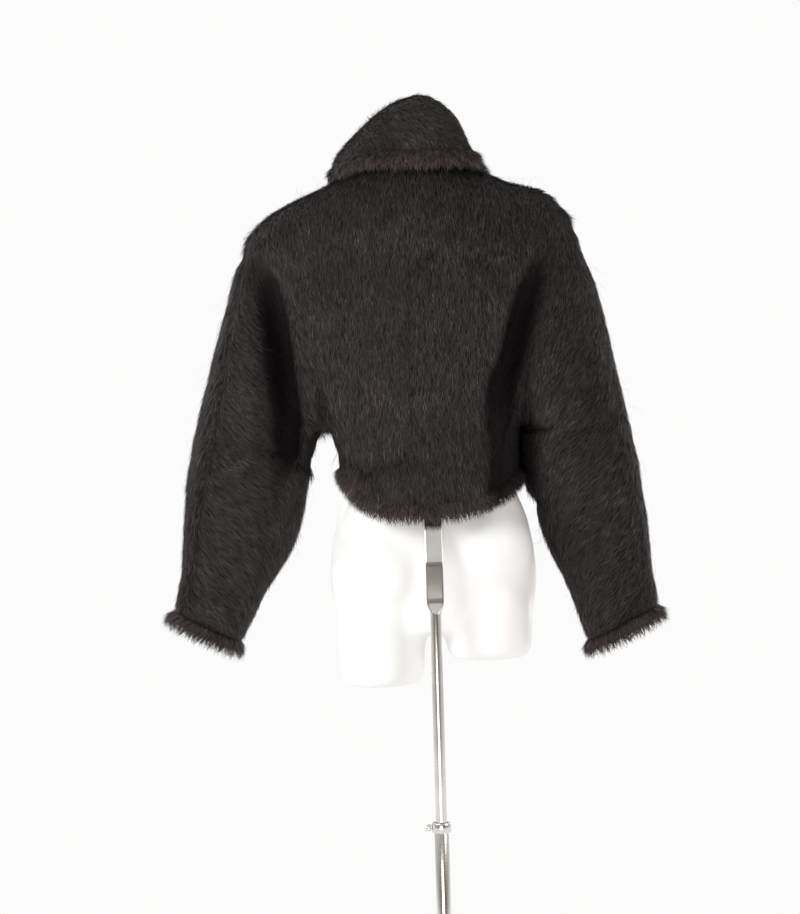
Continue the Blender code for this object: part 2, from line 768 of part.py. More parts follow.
def collar_mesh():
    """Collar: stand, fold and fall in one wall."""
    angles = collar_angles(COLLAR_COLUMNS)
    rows = [[collar_point(angle, w) for angle in angles] for w in COLLAR_ROWS]
    inner = []
    for k, row in enumerate(rows):
        made = []
        for i, place in enumerate(row):
            right = row[min(i + 1, len(row) - 1)] - row[max(i - 1, 0)]
            down = rows[min(k + 1, len(rows) - 1)][i] - rows[max(k - 1, 0)][i]
            made.append(place - down.cross(right).normalized() * PILE_WALL)
        inner.append(made)
    inner[0] = [lerp(foot, above, COLLAR_FOOT_SHARE) for foot, above in zip(rows[0], inner[1])]
    return grid_wall(rows, inner, False)


def collar_path():
    """Edge along the collar's fall."""
    angles = collar_angles(COLLAR_COLUMNS)
    places = [collar_point(angle, 1.0) for angle in angles]
    within = [collar_point(angle, 1.0 - STEP_IN) for angle in angles]
    guesses = [collar_column(angle)[3] + Vector((0.0, 0.0, COLLAR_EDGE_LIFT)) for angle in angles]
    return along_path(places, within, guesses)


def loft(rings):
    """Closed body through rings of equal count, with flat ends."""
    bm = bmesh.new()
    loops = [[bm.verts.new(p) for p in ring] for ring in rings]
    count = len(rings[0])
    for lower, upper in zip(loops, loops[1:]):
        for i in range(count):
            j = (i + 1) % count
            bm.faces.new((lower[i], lower[j], upper[j], upper[i]))
    bm.faces.new(loops[0])
    bm.faces.new(loops[-1])
    return bm


def power(value, roundness):
    """Signed power for rounded sections."""
    return (1 if value >= 0 else -1) * abs(value) ** (2.0 / roundness)


def section_ring(middle, half_width, back, front, segments, roundness=2.0):
    """Level rounded ring with unlike back and front depths."""
    ring = []
    for i in range(segments):
        turn = 2.0 * pi * i / segments
        depth = back if sin(turn) > 0 else front
        x = half_width * power(cos(turn), roundness)
        ring.append(middle + Vector((x, depth * power(sin(turn), roundness), 0.0)))
    return ring


def make_form(group, cutters, material):
    """Torso with two short thighs."""
    rings = []
    for row in FORM:
        middle = Vector((0.0, 0.0, row.z))
        ring = section_ring(middle, row.half_width, row.back, row.front, FORM_SEGMENTS, FORM_ROUNDNESS)
        rings.append(ring)
    torso = add_object("dress_form", loft(rings), group, material)
    shade_round(torso)
    for side in (1, -1):
        rings = []
        for row in THIGH:
            middle = Vector((side * THIGH_X, THIGH_Y, lerp(THIGH_TOP_Z, THIGH_END_Z[side], row.share)))
            width, depth = row.half_width, row.half_depth
            rings.append(section_ring(middle, width, depth, depth, THIGH_SEGMENTS))
        thigh = add_object("thigh_%s" % ("left" if side > 0 else "right"), loft(rings), cutters, None)
        thigh.hide_render = True
        thigh.display_type = "WIRE"
        join = torso.modifiers.new("thigh", "BOOLEAN")
        join.operation = "UNION"
        join.solver = "EXACT"
        join.object = thigh


def make_rod(group, material):
    """Rod whose flattened upper end lies on the form."""
    rings = []
    for row in ROD:
        width, depth = row.half_width, row.half_depth
        rings.append(section_ring(Vector((0.0, row.y, row.z)), width, depth, depth, ROD_SEGMENTS))
    shade_round(add_object("form_rod", loft(rings), group, material))


def turned(name, profile, middle, segments, group, material):
    """Turned ring from a closed profile of (radius, height) points."""
    bm = bmesh.new()
    verts = [bm.verts.new((radius, 0.0, z)) for radius, z in profile]
    for i, vert in enumerate(verts):
        bm.edges.new((verts[i - 1], vert))
    mesh = bpy.data.meshes.new(name)
    bm.to_mesh(mesh)
    bm.free()
    mesh.materials.append(material)
    made = bpy.data.objects.new(name, mesh)
    made.location = middle
    group.objects.link(made)
    spin = made.modifiers.new("turn", "SCREW")
    spin.steps = segments
    spin.render_steps = segments
    spin.use_merge_vertices = True
    spin.merge_threshold = 0.00001
    spin.use_normal_calculate = True
    spin.use_normal_flip = True
    return made


def disc(radius, depth, segments):
    """Round bar or plate about the Z axis, centred on the origin."""
    bm = bmesh.new()
    bmesh.ops.create_cone(
        bm, cap_ends=True, segments=segments, radius1=radius, radius2=radius, depth=depth
    )
    return bm


def make_stand(group, material):
    """Base plate, tube, clamp ring and its screw."""
    bm = disc(BASE_RADIUS, BASE_THICKNESS, BASE_SEGMENTS)
    bmesh.ops.translate(bm, verts=bm.verts, vec=(0.0, 0.0, 0.5 * BASE_THICKNESS))
    plate = add_object("base_plate", bm, group, material)
    shade_round(plate)
    edge = plate.modifiers.new("edge", "BEVEL")
    edge.width = BASE_BEVEL
    edge.segments = 1
    middle = Vector((0.0, POLE_Y, 0.0))
    bore = ROD_RADIUS + TUBE_CLEARANCE
    foot = BASE_THICKNESS + SEAM_GAP
    tube = ((bore, foot), (TUBE_RADIUS, foot), (TUBE_RADIUS, TUBE_TOP_Z), (bore, TUBE_TOP_Z))
    turned("stand_tube", tube, middle, ROD_SEGMENTS, group, material)
    hold = TUBE_RADIUS + SEAM_GAP
    rim = RING_RADIUS
    ring = ((hold, RING_BOTTOM_Z), (rim, RING_BOTTOM_Z), (rim, RING_TOP_Z), (hold, RING_TOP_Z))
    turned("clamp_ring", ring, middle, ROD_SEGMENTS, group, material)
    bm = disc(SCREW_RADIUS, SCREW_LENGTH, ROD_SEGMENTS)
    bmesh.ops.rotate(bm, verts=bm.verts, matrix=Matrix.Rotation(0.5 * pi, 3, "Y"))
    reach = RING_RADIUS + SEAM_GAP + 0.5 * SCREW_LENGTH
    level = 0.5 * (RING_BOTTOM_Z + RING_TOP_Z)
    bmesh.ops.translate(bm, verts=bm.verts, vec=(reach, POLE_Y, level))
    shade_round(add_object("clamp_screw", bm, group, material))


def make_jacket(group, cloth, edge):
    """Panels, collar and the shaggy edge bands."""
    surface = JacketSurface()
    for panel in PANELS.values():
        add_object(panel, surface.panel_mesh(panel), group, cloth)
    add_object("collar", collar_mesh(), group, cloth)
    add_object("collar_band", band_mesh(collar_path(), False), group, edge)
    for side, word in ((1, "left"), (-1, "right")):
        add_object("hem_band_" + word, band_mesh(hem_path(side), False), group, edge)
        add_object("cuff_band_" + word, band_mesh(cuff_path(side), True), group, edge)


def main():
    """Build every piece."""
    clear_scene()
    parts = collection(PART_NAME)
    cutters = collection("cutters")
    cloth = finish("black mohair", (0.020, 0.017, 0.017), 0.85)
    edge = finish("black mohair edge", (0.030, 0.024, 0.024), 0.90)
    white = finish("white lacquer", (0.90, 0.89, 0.87), 0.25)
    chrome = finish("chromed steel", (0.75, 0.73, 0.70), 0.15, 1.0)
    make_jacket(parts, cloth, edge)
    make_form(parts, cutters, white)
    make_rod(parts, chrome)
    make_stand(parts, chrome)
    hang_on_slide(parts)


main()
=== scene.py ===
"""A cropped black mohair bolero with a folded collar, on a white torso form with a chromed stand."""

import logging
from dataclasses import dataclass, field, replace
from enum import Enum, IntEnum
from math import cos, exp, pi, radians, sin, sqrt
from typing import Any, Optional, Sequence, Union

import bmesh
import bpy
import numpy as np
from mathutils import Matrix, Vector, noise


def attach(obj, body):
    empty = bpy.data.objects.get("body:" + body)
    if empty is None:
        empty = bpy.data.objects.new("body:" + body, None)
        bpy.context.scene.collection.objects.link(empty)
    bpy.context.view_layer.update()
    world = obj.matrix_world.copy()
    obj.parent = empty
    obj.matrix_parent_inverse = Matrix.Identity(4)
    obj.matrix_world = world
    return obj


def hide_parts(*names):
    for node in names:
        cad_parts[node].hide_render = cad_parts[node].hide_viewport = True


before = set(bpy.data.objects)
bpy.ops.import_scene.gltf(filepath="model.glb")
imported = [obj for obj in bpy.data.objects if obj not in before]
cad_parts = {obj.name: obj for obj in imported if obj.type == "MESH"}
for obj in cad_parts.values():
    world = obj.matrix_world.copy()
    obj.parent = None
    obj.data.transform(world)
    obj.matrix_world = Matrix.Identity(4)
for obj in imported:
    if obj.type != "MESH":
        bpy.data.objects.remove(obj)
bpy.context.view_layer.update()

LOG = logging.getLogger("bolero")
UPPER_BODY = "upper"
STAND_BODY = "stand"
BAKE_MAP = "OFBake"
SURROUND = (1.0, 0.998, 0.995)
SURROUND_STRENGTH = 0.97
SEAM_GAP = 0.00035
SIDE_ANGLE = 90.0


class Side(IntEnum):
    """Side of the wearer; the left is +X."""

    LEFT = 1
    RIGHT = -1

    def of(self, pair: tuple) -> Any:
        """This side's value of a left and right pair."""
        return pair[0] if self is Side.LEFT else pair[1]


class Face(IntEnum):
    """Which way a cloth faces; the back is +Y."""

    BACK = 1
    FRONT = -1


class Draw(IntEnum):
    """Shift of the seed for each random draw of a strand."""

    LIFT = 11
    ROLL = 12
    FAN = 13
    LENGTH = 14
    WIDTH = 15
    SHAPE = 16
    TONE = 17


class Slot(Enum):
    """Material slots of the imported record."""

    CLOTH = "mohair"
    EDGE = "mohair_edge"
    LACQUER = "white_lacquer"
    CHROME = "chrome"


def mix(a: Any, b: Any, share: float) -> Any:
    """Mix two numbers or vectors."""
    return a + (b - a) * share


def clamp(value: float) -> float:
    """Hold a number between 0 and 1."""
    return max(0.0, min(1.0, value))


def ease(value: float) -> float:
    """Soft step from 0 to 1."""
    share = clamp(value)
    return share * share * (3.0 - 2.0 * share)


def rise(value: float, start: float, span: float) -> float:
    """Soft step from 0 at a start to 1 a span further on."""
    return ease((value - start) / span)


def through(values: Sequence[float], station: float) -> float:
    """Read a smooth curve through evenly numbered values.

    Args:
        values: The values at stations 0, 1, 2 and so on.
        station: Where to read.

    Returns:
        The value of the curve.
    """
    last = len(values) - 1
    i = max(0, min(int(station), last - 1))
    f = station - i
    p1, p2 = values[i], values[i + 1]
    p0 = values[i - 1] if i > 0 else 2 * p1 - p2
    p3 = values[i + 2] if i + 2 <= last else 2 * p2 - p1
    bend = (2 * p0 - 5 * p1 + 4 * p2 - p3) * f * f + (3 * p1 - p0 - 3 * p2 + p3) * f ** 3
    return p1 + 0.5 * ((p2 - p0) * f + bend)


def column(table: Sequence[Any], name: str, station: float) -> float:
    """Read one named column of a table at a station."""
    return through([getattr(row, name) for row in table], station)


def dome(share: float, roundness: float) -> float:
    """Height of a rounded half section at a share of its half width."""
    return max(0.0, 1.0 - min(1.0, abs(share)) ** roundness) ** (1.0 / roundness)


def oval(middle: Vector, sizes: Sequence[float], power: float, segments: int) -> list:
    """Level ring of a half width and two depths, behind and in front; a power under 1 is boxier."""
    width, back, front = sizes
    made = []
    for i in range(segments):
        turn = 2.0 * pi * i / segments
        c, s = cos(turn), sin(turn)
        x = width * (1 if c >= 0 else -1) * abs(c) ** power
        y = (back if s > 0 else front) * (1 if s >= 0 else -1) * abs(s) ** power
        made.append(middle + Vector((x, y, 0.0)))
    return made


def loft(bm: bmesh.types.BMesh, rings: Sequence[Sequence]) -> None:
    """Add a closed body through rings of as many points each to a mesh."""
    loops = [[bm.verts.new(p) for p in ring] for ring in rings]
    count = len(loops[0])
    for lower, upper in zip(loops, loops[1:]):
        for i in range(count):
            j = (i + 1) % count
            bm.faces.new((lower[i], lower[j], upper[j], upper[i]))
    bm.faces.new(loops[0][::-1])
    bm.faces.new(loops[-1])


def add_object(
    name: str,
    mesh: bpy.types.Mesh,
    material: Optional[bpy.types.Material] = None,
) -> bpy.types.Object:
    """Link a mesh to the scene as an object at the origin.

    Args:
        name: Name of the piece.
        mesh: Its mesh, in the row frame.
        material: Its finish, if it has one.

    Returns:
        The new object.
    """
    made = bpy.data.objects.new(name, mesh)
    bpy.context.scene.collection.objects.link(made)
    if material:
        mesh.materials.clear()
        mesh.materials.append(material)
    return made


def baked_down(obj: bpy.types.Object, name: str) -> bpy.types.Object:
    """Turn an object with modifiers into a plain mesh object and remove the first.

    Args:
        obj: The object with live modifiers.
        name: Name of the plain object.

    Returns:
        The plain object.
    """
    bpy.context.view_layer.update()
    graph = bpy.context.evaluated_depsgraph_get()
    mesh = bpy.data.meshes.new_from_object(obj.evaluated_get(graph))
    mesh.name = name
    bpy.data.objects.remove(obj, do_unlink=True)
    return add_object(name, mesh)


class Wire:
    """A node socket that takes part in Python arithmetic."""

    def __init__(self, graph: "Graph", socket: bpy.types.NodeSocket) -> None:
        """Wrap an output socket of a graph's tree."""
        self.graph = graph
        self.socket = socket

    def math(self, operation: str, *values: Any) -> "Wire":
        """Add a Math node on a few values."""
        node = self.graph.node("ShaderNodeMath", {"operation": operation}, dict(enumerate(values)))
        return Wire(self.graph, node.outputs[0])

    def __add__(self, other: Any) -> "Wire":
        """Sum."""
        return self.math("ADD", self, other)

    def __sub__(self, other: Any) -> "Wire":
        """Difference."""
        return self.math("SUBTRACT", self, other)

    def __mul__(self, other: Any) -> "Wire":
        """Product."""
        return self.math("MULTIPLY", self, other)

    def __neg__(self) -> "Wire":
        """Opposite."""
        return self.math("MULTIPLY", self, -1.0)

    def clamped(self) -> "Wire":
        """Held between 0 and 1."""
        return self.math("MINIMUM", self.math("MAXIMUM", self, 0.0), 1.0)


class Graph:
    """Adds nodes to one node tree."""

    def __init__(self, tree: bpy.types.NodeTree) -> None:
        """Work on a tree."""
        self.tree = tree

    def node(
        self,
        kind: str,
        settings: Optional[dict] = None,
        inputs: Optional[dict] = None,
    ) -> bpy.types.Node:
        """Add a node.

        Args:
            kind: The node's type.
            settings: Its properties, set first; "stops" fills a colour ramp.
            inputs: Values or wires by socket name or number.

        Returns:
            The node.
        """
        made = self.tree.nodes.new(kind)
        for name, value in (settings or {}).items():
            if name == "stops":
                self.fill_ramp(made.color_ramp, value)
            else:
                setattr(made, name, value)
        for key, value in (inputs or {}).items():
            self.feed(made.inputs[key], value)
        return made

    def fill_ramp(self, ramp: bpy.types.ColorRamp, stops: Sequence[tuple]) -> None:
        """Give a colour ramp its stops of (place, colour)."""
        while len(ramp.elements) < len(stops):
            ramp.elements.new(1.0)
        for element, (place, rgb) in zip(ramp.elements, stops):
            element.position = place
            element.color = (*rgb, 1.0)

    def feed(self, socket: bpy.types.NodeSocket, value: Any) -> None:
        """Set a socket's value or link a wire to it."""
        if isinstance(value, Wire):
            self.tree.links.new(value.socket, socket)
        else:
            socket.default_value = value

    def out(self, node: bpy.types.Node, name: Union[str, int] = 0) -> Wire:
        """Wrap one of a node's outputs."""
        return Wire(self, node.outputs[name])

    def split(self, vector: Wire) -> tuple:
        """The x, y and z of a vector."""
        node = self.node("ShaderNodeSeparateXYZ", {}, {0: vector})
        return tuple(Wire(self, socket) for socket in node.outputs)

    def vector(self, x: Any, y: Any, z: Any) -> Wire:
        """A vector of three values."""
        return self.out(self.node("ShaderNodeCombineXYZ", {}, {0: x, 1: y, 2: z}))

    def noise(self, at: Wire, scale: float, detail: float = 3.0, rough: float = 0.5) -> Wire:
        """Noise value at a place."""
        inputs = {"Vector": at, "Scale": scale, "Detail": detail, "Roughness": rough}
        return self.out(self.node("ShaderNodeTexNoise", {}, inputs), 0)

    def ramp(self, value: Wire, stops: Sequence[tuple]) -> Wire:
        """Colour of a value through stops of (place, colour)."""
        return self.out(self.node("ShaderNodeValToRGB", {"stops": stops}, {0: value}), 0)


class Paint(Graph):
    """Builds one node material round a Principled shader."""

    def __init__(self, name: str) -> None:
        """Start a material with an empty Principled shader."""
        self.material = bpy.data.materials.new(name)
        self.material.use_nodes = True
        super().__init__(self.material.node_tree)
        self.shader = self.tree.nodes["Principled BSDF"]

    def place(self) -> Wire:
        """Object coordinates."""
        return self.out(self.node("ShaderNodeTexCoord"), "Object")

    def stretched(self, at: Wire, scale: tuple) -> Wire:
        """A place with unlike scales along the axes."""
        return self.out(self.node("ShaderNodeMapping", {}, {"Vector": at, "Scale": scale}))

    def mixed(self, share: Wire, first: Any, second: Any) -> Wire:
        """Mix two colours."""
        node = self.node("ShaderNodeMix", {"data_type": "RGBA"}, {0: share})
        sockets = [socket for socket in node.inputs if socket.type == "RGBA"]
        self.feed(sockets[0], first)
        self.feed(sockets[1], second)
        return Wire(self, next(socket for socket in node.outputs if socket.type == "RGBA"))

    def bump(self, height: Wire, strength: float, distance: float) -> Wire:
        """Normal from a height."""
        inputs = {"Height": height, "Strength": strength, "Distance": distance}
        return self.out(self.node("ShaderNodeBump", {}, inputs))

    def set(self, **values: Any) -> None:
        """Feed the Principled shader's sockets, named with underscores for spaces."""
        for name, value in values.items():
            self.feed(self.shader.inputs[name.replace("_", " ")], value)


@dataclass(frozen=True)
class MohairGround:
    """Woven ground of the mohair cloth, seen only between the strands."""

    name: str = "mohair ground"
    dark: tuple = (0.006, 0.005, 0.005)
    light: tuple = (0.018, 0.015, 0.015)
    tone_stops: tuple = (0.3, 0.75)
    thread_scale: float = 420.0
    thread_stretch: tuple = (1.0, 1.0, 0.25)
    patch_scale: float = 18.0
    patch_share: float = 0.4
    roughness: float = 0.8
    roughness_spread: float = 0.15
    relief: tuple = (0.5, 0.001)
    gloss: float = 0.05

    def make(self) -> bpy.types.Material:
        """Build the material."""
        paint = Paint(self.name)
        place = paint.place()
        thread = paint.noise(paint.stretched(place, self.thread_stretch), self.thread_scale, 2.0)
        patch = paint.noise(place, self.patch_scale)
        tone = thread * (1.0 - self.patch_share) + patch * self.patch_share
        paint.set(
            Base_Color=paint.ramp(tone, tuple(zip(self.tone_stops, (self.dark, self.light)))),
            Roughness=thread * self.roughness_spread + self.roughness,
            Normal=paint.bump(thread, *self.relief),
            Specular_IOR_Level=self.gloss,
        )
        return paint.material


@dataclass(frozen=True)
class MohairStrand:
    """Brushed mohair hair: its tone runs over the strands, darker at the root."""

    name: str = "mohair strand"
    root: tuple = (0.0035, 0.0029, 0.0030)
    dark: tuple = (0.0060, 0.0048, 0.0048)
    light: tuple = (0.062, 0.053, 0.053)
    gleam: tuple = (0.170, 0.147, 0.148)
    light_stop: float = 0.80
    root_end: float = 0.45
    roughness: float = 0.50
    gloss: float = 0.10
    sheen: float = 0.03
    sheen_roughness: float = 0.5

    def make(self) -> bpy.types.Material:
        """Build the material; the map's u is a strand's tone and v runs from root to tip."""
        paint = Paint(self.name)
        tone, along, _ = paint.split(paint.out(paint.node("ShaderNodeUVMap", {"uv_map": BAKE_MAP})))
        body = paint.ramp(tone, ((0.0, self.dark), (self.light_stop, self.light), (1.0, self.gleam)))
        risen = paint.ramp(along, ((0.0, (0.0, 0.0, 0.0)), (self.root_end, (1.0, 1.0, 1.0))))
        paint.set(
            Base_Color=paint.mixed(risen, (*self.root, 1.0), body),
            Roughness=self.roughness,
            Specular_IOR_Level=self.gloss,
            Sheen_Weight=self.sheen,
            Sheen_Roughness=self.sheen_roughness,
        )
        return paint.material


EDGE_STRAND = MohairStrand(
    name="mohair edge strand",
    root=(0.004, 0.003, 0.003),
    dark=(0.006, 0.0045, 0.0045),
    light=(0.094, 0.074, 0.075),
    gleam=(0.225, 0.180, 0.180),
)


@dataclass(frozen=True)
class Lacquer:
    """White lacquered moulding of the torso form."""

    name: str = "white lacquer"
    white: tuple = (0.865, 0.860, 0.853)
    warm: tuple = (0.848, 0.838, 0.826)
    tone_stops: tuple = (0.35, 0.8)
    cloud_scale: float = 6.0
    peel_scale: float = 210.0
    scuff_scale: float = 60.0
    scuff_stretch: tuple = (1.0, 1.0, 0.15)
    roughness: float = 0.30
    cloud_roughness: float = 0.10
    scuff_roughness: float = 0.08
    relief: tuple = (0.05, 0.0006)
    coat: float = 0.15
    coat_roughness: float = 0.22

    def make(self) -> bpy.types.Material:
        """Build the material."""
        paint = Paint(self.name)
        place = paint.place()
        cloud = paint.noise(place, self.cloud_scale, 4.0)
        peel = paint.noise(place, self.peel_scale, 2.0)
        scuff = paint.noise(paint.stretched(place, self.scuff_stretch), self.scuff_scale, 5.0, 0.7)
        worn = cloud * self.cloud_roughness + scuff * self.scuff_roughness
        paint.set(
            Base_Color=paint.ramp(cloud, tuple(zip(self.tone_stops, (self.white, self.warm)))),
            Roughness=worn + self.roughness,
            Normal=paint.bump(peel, *self.relief),
            Coat_Weight=self.coat,
            Coat_Roughness=self.coat_roughness,
        )
        return paint.material


@dataclass(frozen=True)
class Chrome:
    """Bright chromed steel with fine drawing marks along its length."""

    name: str = "chromed steel"
    bright: tuple = (0.78, 0.765, 0.745)
    dull: tuple = (0.62, 0.60, 0.575)
    tone_stops: tuple = (0.35, 0.85)
    drawn_scale: float = 900.0
    drawn_stretch: tuple = (1.0, 1.0, 0.02)
    haze_scale: float = 22.0
    roughness: float = 0.06
    haze_roughness: float = 0.10
    drawn_roughness: float = 0.06
    relief: tuple = (0.05, 0.0004)

    def make(self) -> bpy.types.Material:
        """Build the material."""
        paint = Paint(self.name)
        place = paint.place()
        drawn = paint.noise(paint.stretched(place, self.drawn_stretch), self.drawn_scale, 2.0)
        haze = paint.noise(place, self.haze_scale, 4.0)
        worn = haze * self.haze_roughness + drawn * self.drawn_roughness
        paint.set(
            Base_Color=paint.ramp(haze, tuple(zip(self.tone_stops, (self.bright, self.dull)))),
            Metallic=1.0,
            Roughness=worn + self.roughness,
            Normal=paint.bump(drawn, *self.relief),
        )
        return paint.material


@dataclass(frozen=True)
class PaleFloor:
    """Matt pale studio floor that fades into the white surround."""

    name: str = "pale floor"
    pale: tuple = (0.86, 0.855, 0.845)
    shadow_share: float = 0.97
    tone_stops: tuple = (0.3, 0.7)
    cloud_scale: float = 1.5
    roughness: float = 0.85
    fade_scale: float = 0.5
    fade_start: float = 0.18
    fade_end: float = 0.56

    def make(self) -> bpy.types.Material:
        """Build the material."""
        paint = Paint(self.name)
        place = paint.place()
        cloud = paint.noise(place, self.cloud_scale, 4.0)
        low = tuple(value * self.shadow_share for value in self.pale)
        tone = paint.ramp(cloud, tuple(zip(self.tone_stops, (low, self.pale))))
        paint.set(Base_Color=tone, Roughness=self.roughness)
        reach = paint.out(paint.node("ShaderNodeVectorMath", {"operation": "LENGTH"}, {0: place}), "Value")
        fade = ((self.fade_start, (0.0, 0.0, 0.0)), (self.fade_end, (1.0, 1.0, 1.0)))
        far = paint.ramp(reach * self.fade_scale, fade)
        light = {"Color": (*SURROUND, 1.0), "Strength": SURROUND_STRENGTH}
        glow = paint.out(paint.node("ShaderNodeEmission", {}, light))
        near = Wire(paint, paint.shader.outputs[0])
        blend = paint.node("ShaderNodeMixShader", {}, {0: far, 1: near, 2: glow})
        paint.tree.links.new(blend.outputs[0], paint.tree.nodes["Material Output"].inputs["Surface"])
        return paint.material


@dataclass(frozen=True)
class ArmRow:
    """One section of a sleeve, from its web line to its overarm."""

    outer_z: float
    outer_x: float
    inner_z: float
    inner_x: float
    fold_x: float
    fold_depth: float
    depth: float
    centre_y: float


@dataclass(frozen=True)
class BodyRow:
    """Depths of the body at one level."""

    back: float
    front: float


@dataclass(frozen=True)
class CollarRow:
    """Fold and free edge of the collar at one angle round the neck."""

    angle: float
    fold_x: float
    fold_y: float
    fold_z: float
    edge_x: float
    edge_y: float
    edge_z: float


LEFT_ARM = tuple(
    ArmRow(*row)
    for row in (
        (1.325, 0.275, 1.325, 0.185, 0.246, 0.000, 0.080, 0.000),
        (1.250, 0.299, 1.250, 0.174, 0.219, 0.046, 0.080, 0.000),
        (1.160, 0.324, 1.160, 0.164, 0.207, 0.066, 0.076, 0.000),
        (1.055, 0.352, 1.055, 0.155, 0.201, 0.046, 0.074, 0.000),
        (0.990, 0.366, 0.985, 0.180, 0.220, 0.010, 0.070, -0.006),
        (0.915, 0.375, 0.895, 0.203, 0.272, 0.000, 0.062, -0.016),
        (0.855, 0.380, 0.815, 0.252, 0.312, 0.000, 0.053, -0.026),
        (0.792, 0.395, 0.740, 0.292, 0.336, 0.000, 0.048, -0.034),
    )
)
RIGHT_ARM = tuple(
    ArmRow(*row)
    for row in (
        (1.325, 0.236, 1.325, 0.200, 0.172, 0.000, 0.080, 0.000),
        (1.250, 0.260, 1.250, 0.190, 0.141, 0.040, 0.080, 0.000),
        (1.160, 0.279, 1.160, 0.152, 0.115, 0.050, 0.076, 0.000),
        (1.055, 0.301, 1.055, 0.141, 0.093, 0.026, 0.074, 0.000),
        (0.990, 0.314, 0.985, 0.149, 0.110, 0.000, 0.070, -0.002),
        (0.915, 0.325, 0.900, 0.163, 0.120, 0.000, 0.062, -0.012),
        (0.850, 0.332, 0.815, 0.200, 0.140, 0.000, 0.053, -0.022),
        (0.781, 0.341, 0.728, 0.230, 0.160, 0.000, 0.048, -0.030),
    )
)
BODY = tuple(
    BodyRow(*row)
    for row in ((0.125, -0.122), (0.134, -0.145), (0.132, -0.148), (0.130, -0.138), (0.134, -0.132))
)
SHOULDER = {
    Side.LEFT: ((0.088, 1.450), (0.146, 1.4225), (0.192, 1.403), (0.222, 1.385), (0.241, 1.368)),
    Side.RIGHT: ((0.072, 1.450), (0.124, 1.428), (0.178, 1.414), (0.204, 1.395), (0.217, 1.376)),
}
COLLAR = tuple(
    CollarRow(*row)
    for row in (
        (-150, -0.055, -0.085, 1.432, -0.086, -0.116, 1.403),
        (-120, -0.069, -0.042, 1.470, -0.097, -0.060, 1.447),
        (-90, -0.058, 0.004, 1.495, -0.084, 0.006, 1.458),
        (-45, -0.041, 0.046, 1.532, -0.071, 0.088, 1.457),
        (0, 0.004, 0.064, 1.553, 0.010, 0.112, 1.453),
        (45, 0.062, 0.046, 1.532, 0.092, 0.086, 1.457),
        (90, 0.097, 0.004, 1.497, 0.136, 0.006, 1.447),
        (120, 0.100, -0.042, 1.468, 0.130, -0.058, 1.446),
        (150, 0.070, -0.088, 1.430, 0.098, -0.116, 1.395),
    )
)
PANELS = {
    (Side.LEFT, Face.BACK): "back_left",
    (Side.RIGHT, Face.BACK): "back_right",
    (Side.LEFT, Face.FRONT): "front_left",
    (Side.RIGHT, Face.FRONT): "front_right",
}


@dataclass(frozen=True)
class Crease:
    """A soft trough in the cloth, between two places of a front or back view; its dark share is painted shade
    in the hair of the trough.
    """

    face: Face
    start: tuple
    end: tuple
    depth: float
    width: float
    ridge: float = 0.35
    # Painted shade darkening the hair in the trough.
    dark: float = 0.0

    WANDER = 0.35
    WAVES = 9.0
    WAVE_SHIFT = 40.0
    END_SWELL = 0.35
    SWELL_POWER = 0.7
    BANK_OFFSET = 1.9
    BANK_WIDTH = 1.1
    SHADE_WIDTH = 1.25

    def press(self, points: np.ndarray, faces: np.ndarray) -> tuple:
        """How the crease works on each point.

        Args:
            points: Places of the cloth.
            faces: 1 for points of the back, -1 for the front.

        Returns:
            One move along the normal and one share of painted shade for each point.
        """
        a = np.array(self.start)
        b = np.array(self.end)
        flat = points[:, (0, 2)]
        along = b - a
        share = np.clip(((flat - a) @ along) / (along @ along), 0.0, 1.0)
        wander = self.WANDER * self.width * np.sin(self.WAVES * share + self.WAVE_SHIFT * a[0])
        across = np.array((-along[1], along[0])) / np.linalg.norm(along)
        gap = flat - (a + share[:, None] * along)
        offset = np.linalg.norm(gap, axis=1) * np.sign(gap @ across + 1e-12) - wander
        middle = np.sin(pi * share) ** self.SWELL_POWER
        swell = (faces == int(self.face)) * (self.END_SWELL + (1.0 - self.END_SWELL) * middle)
        trough = swell * np.exp(-((offset / self.width) ** 2))
        past = np.abs(offset) - self.BANK_OFFSET * self.width
        bank = swell * np.exp(-((past / (self.BANK_WIDTH * self.width)) ** 2))
        # Painted shade of the hair along the trough, with sharper edges than the trough.
        shade = self.dark * swell * np.exp(-((offset / (self.SHADE_WIDTH * self.width)) ** 4))
        return self.depth * (self.ridge * bank - trough), shade
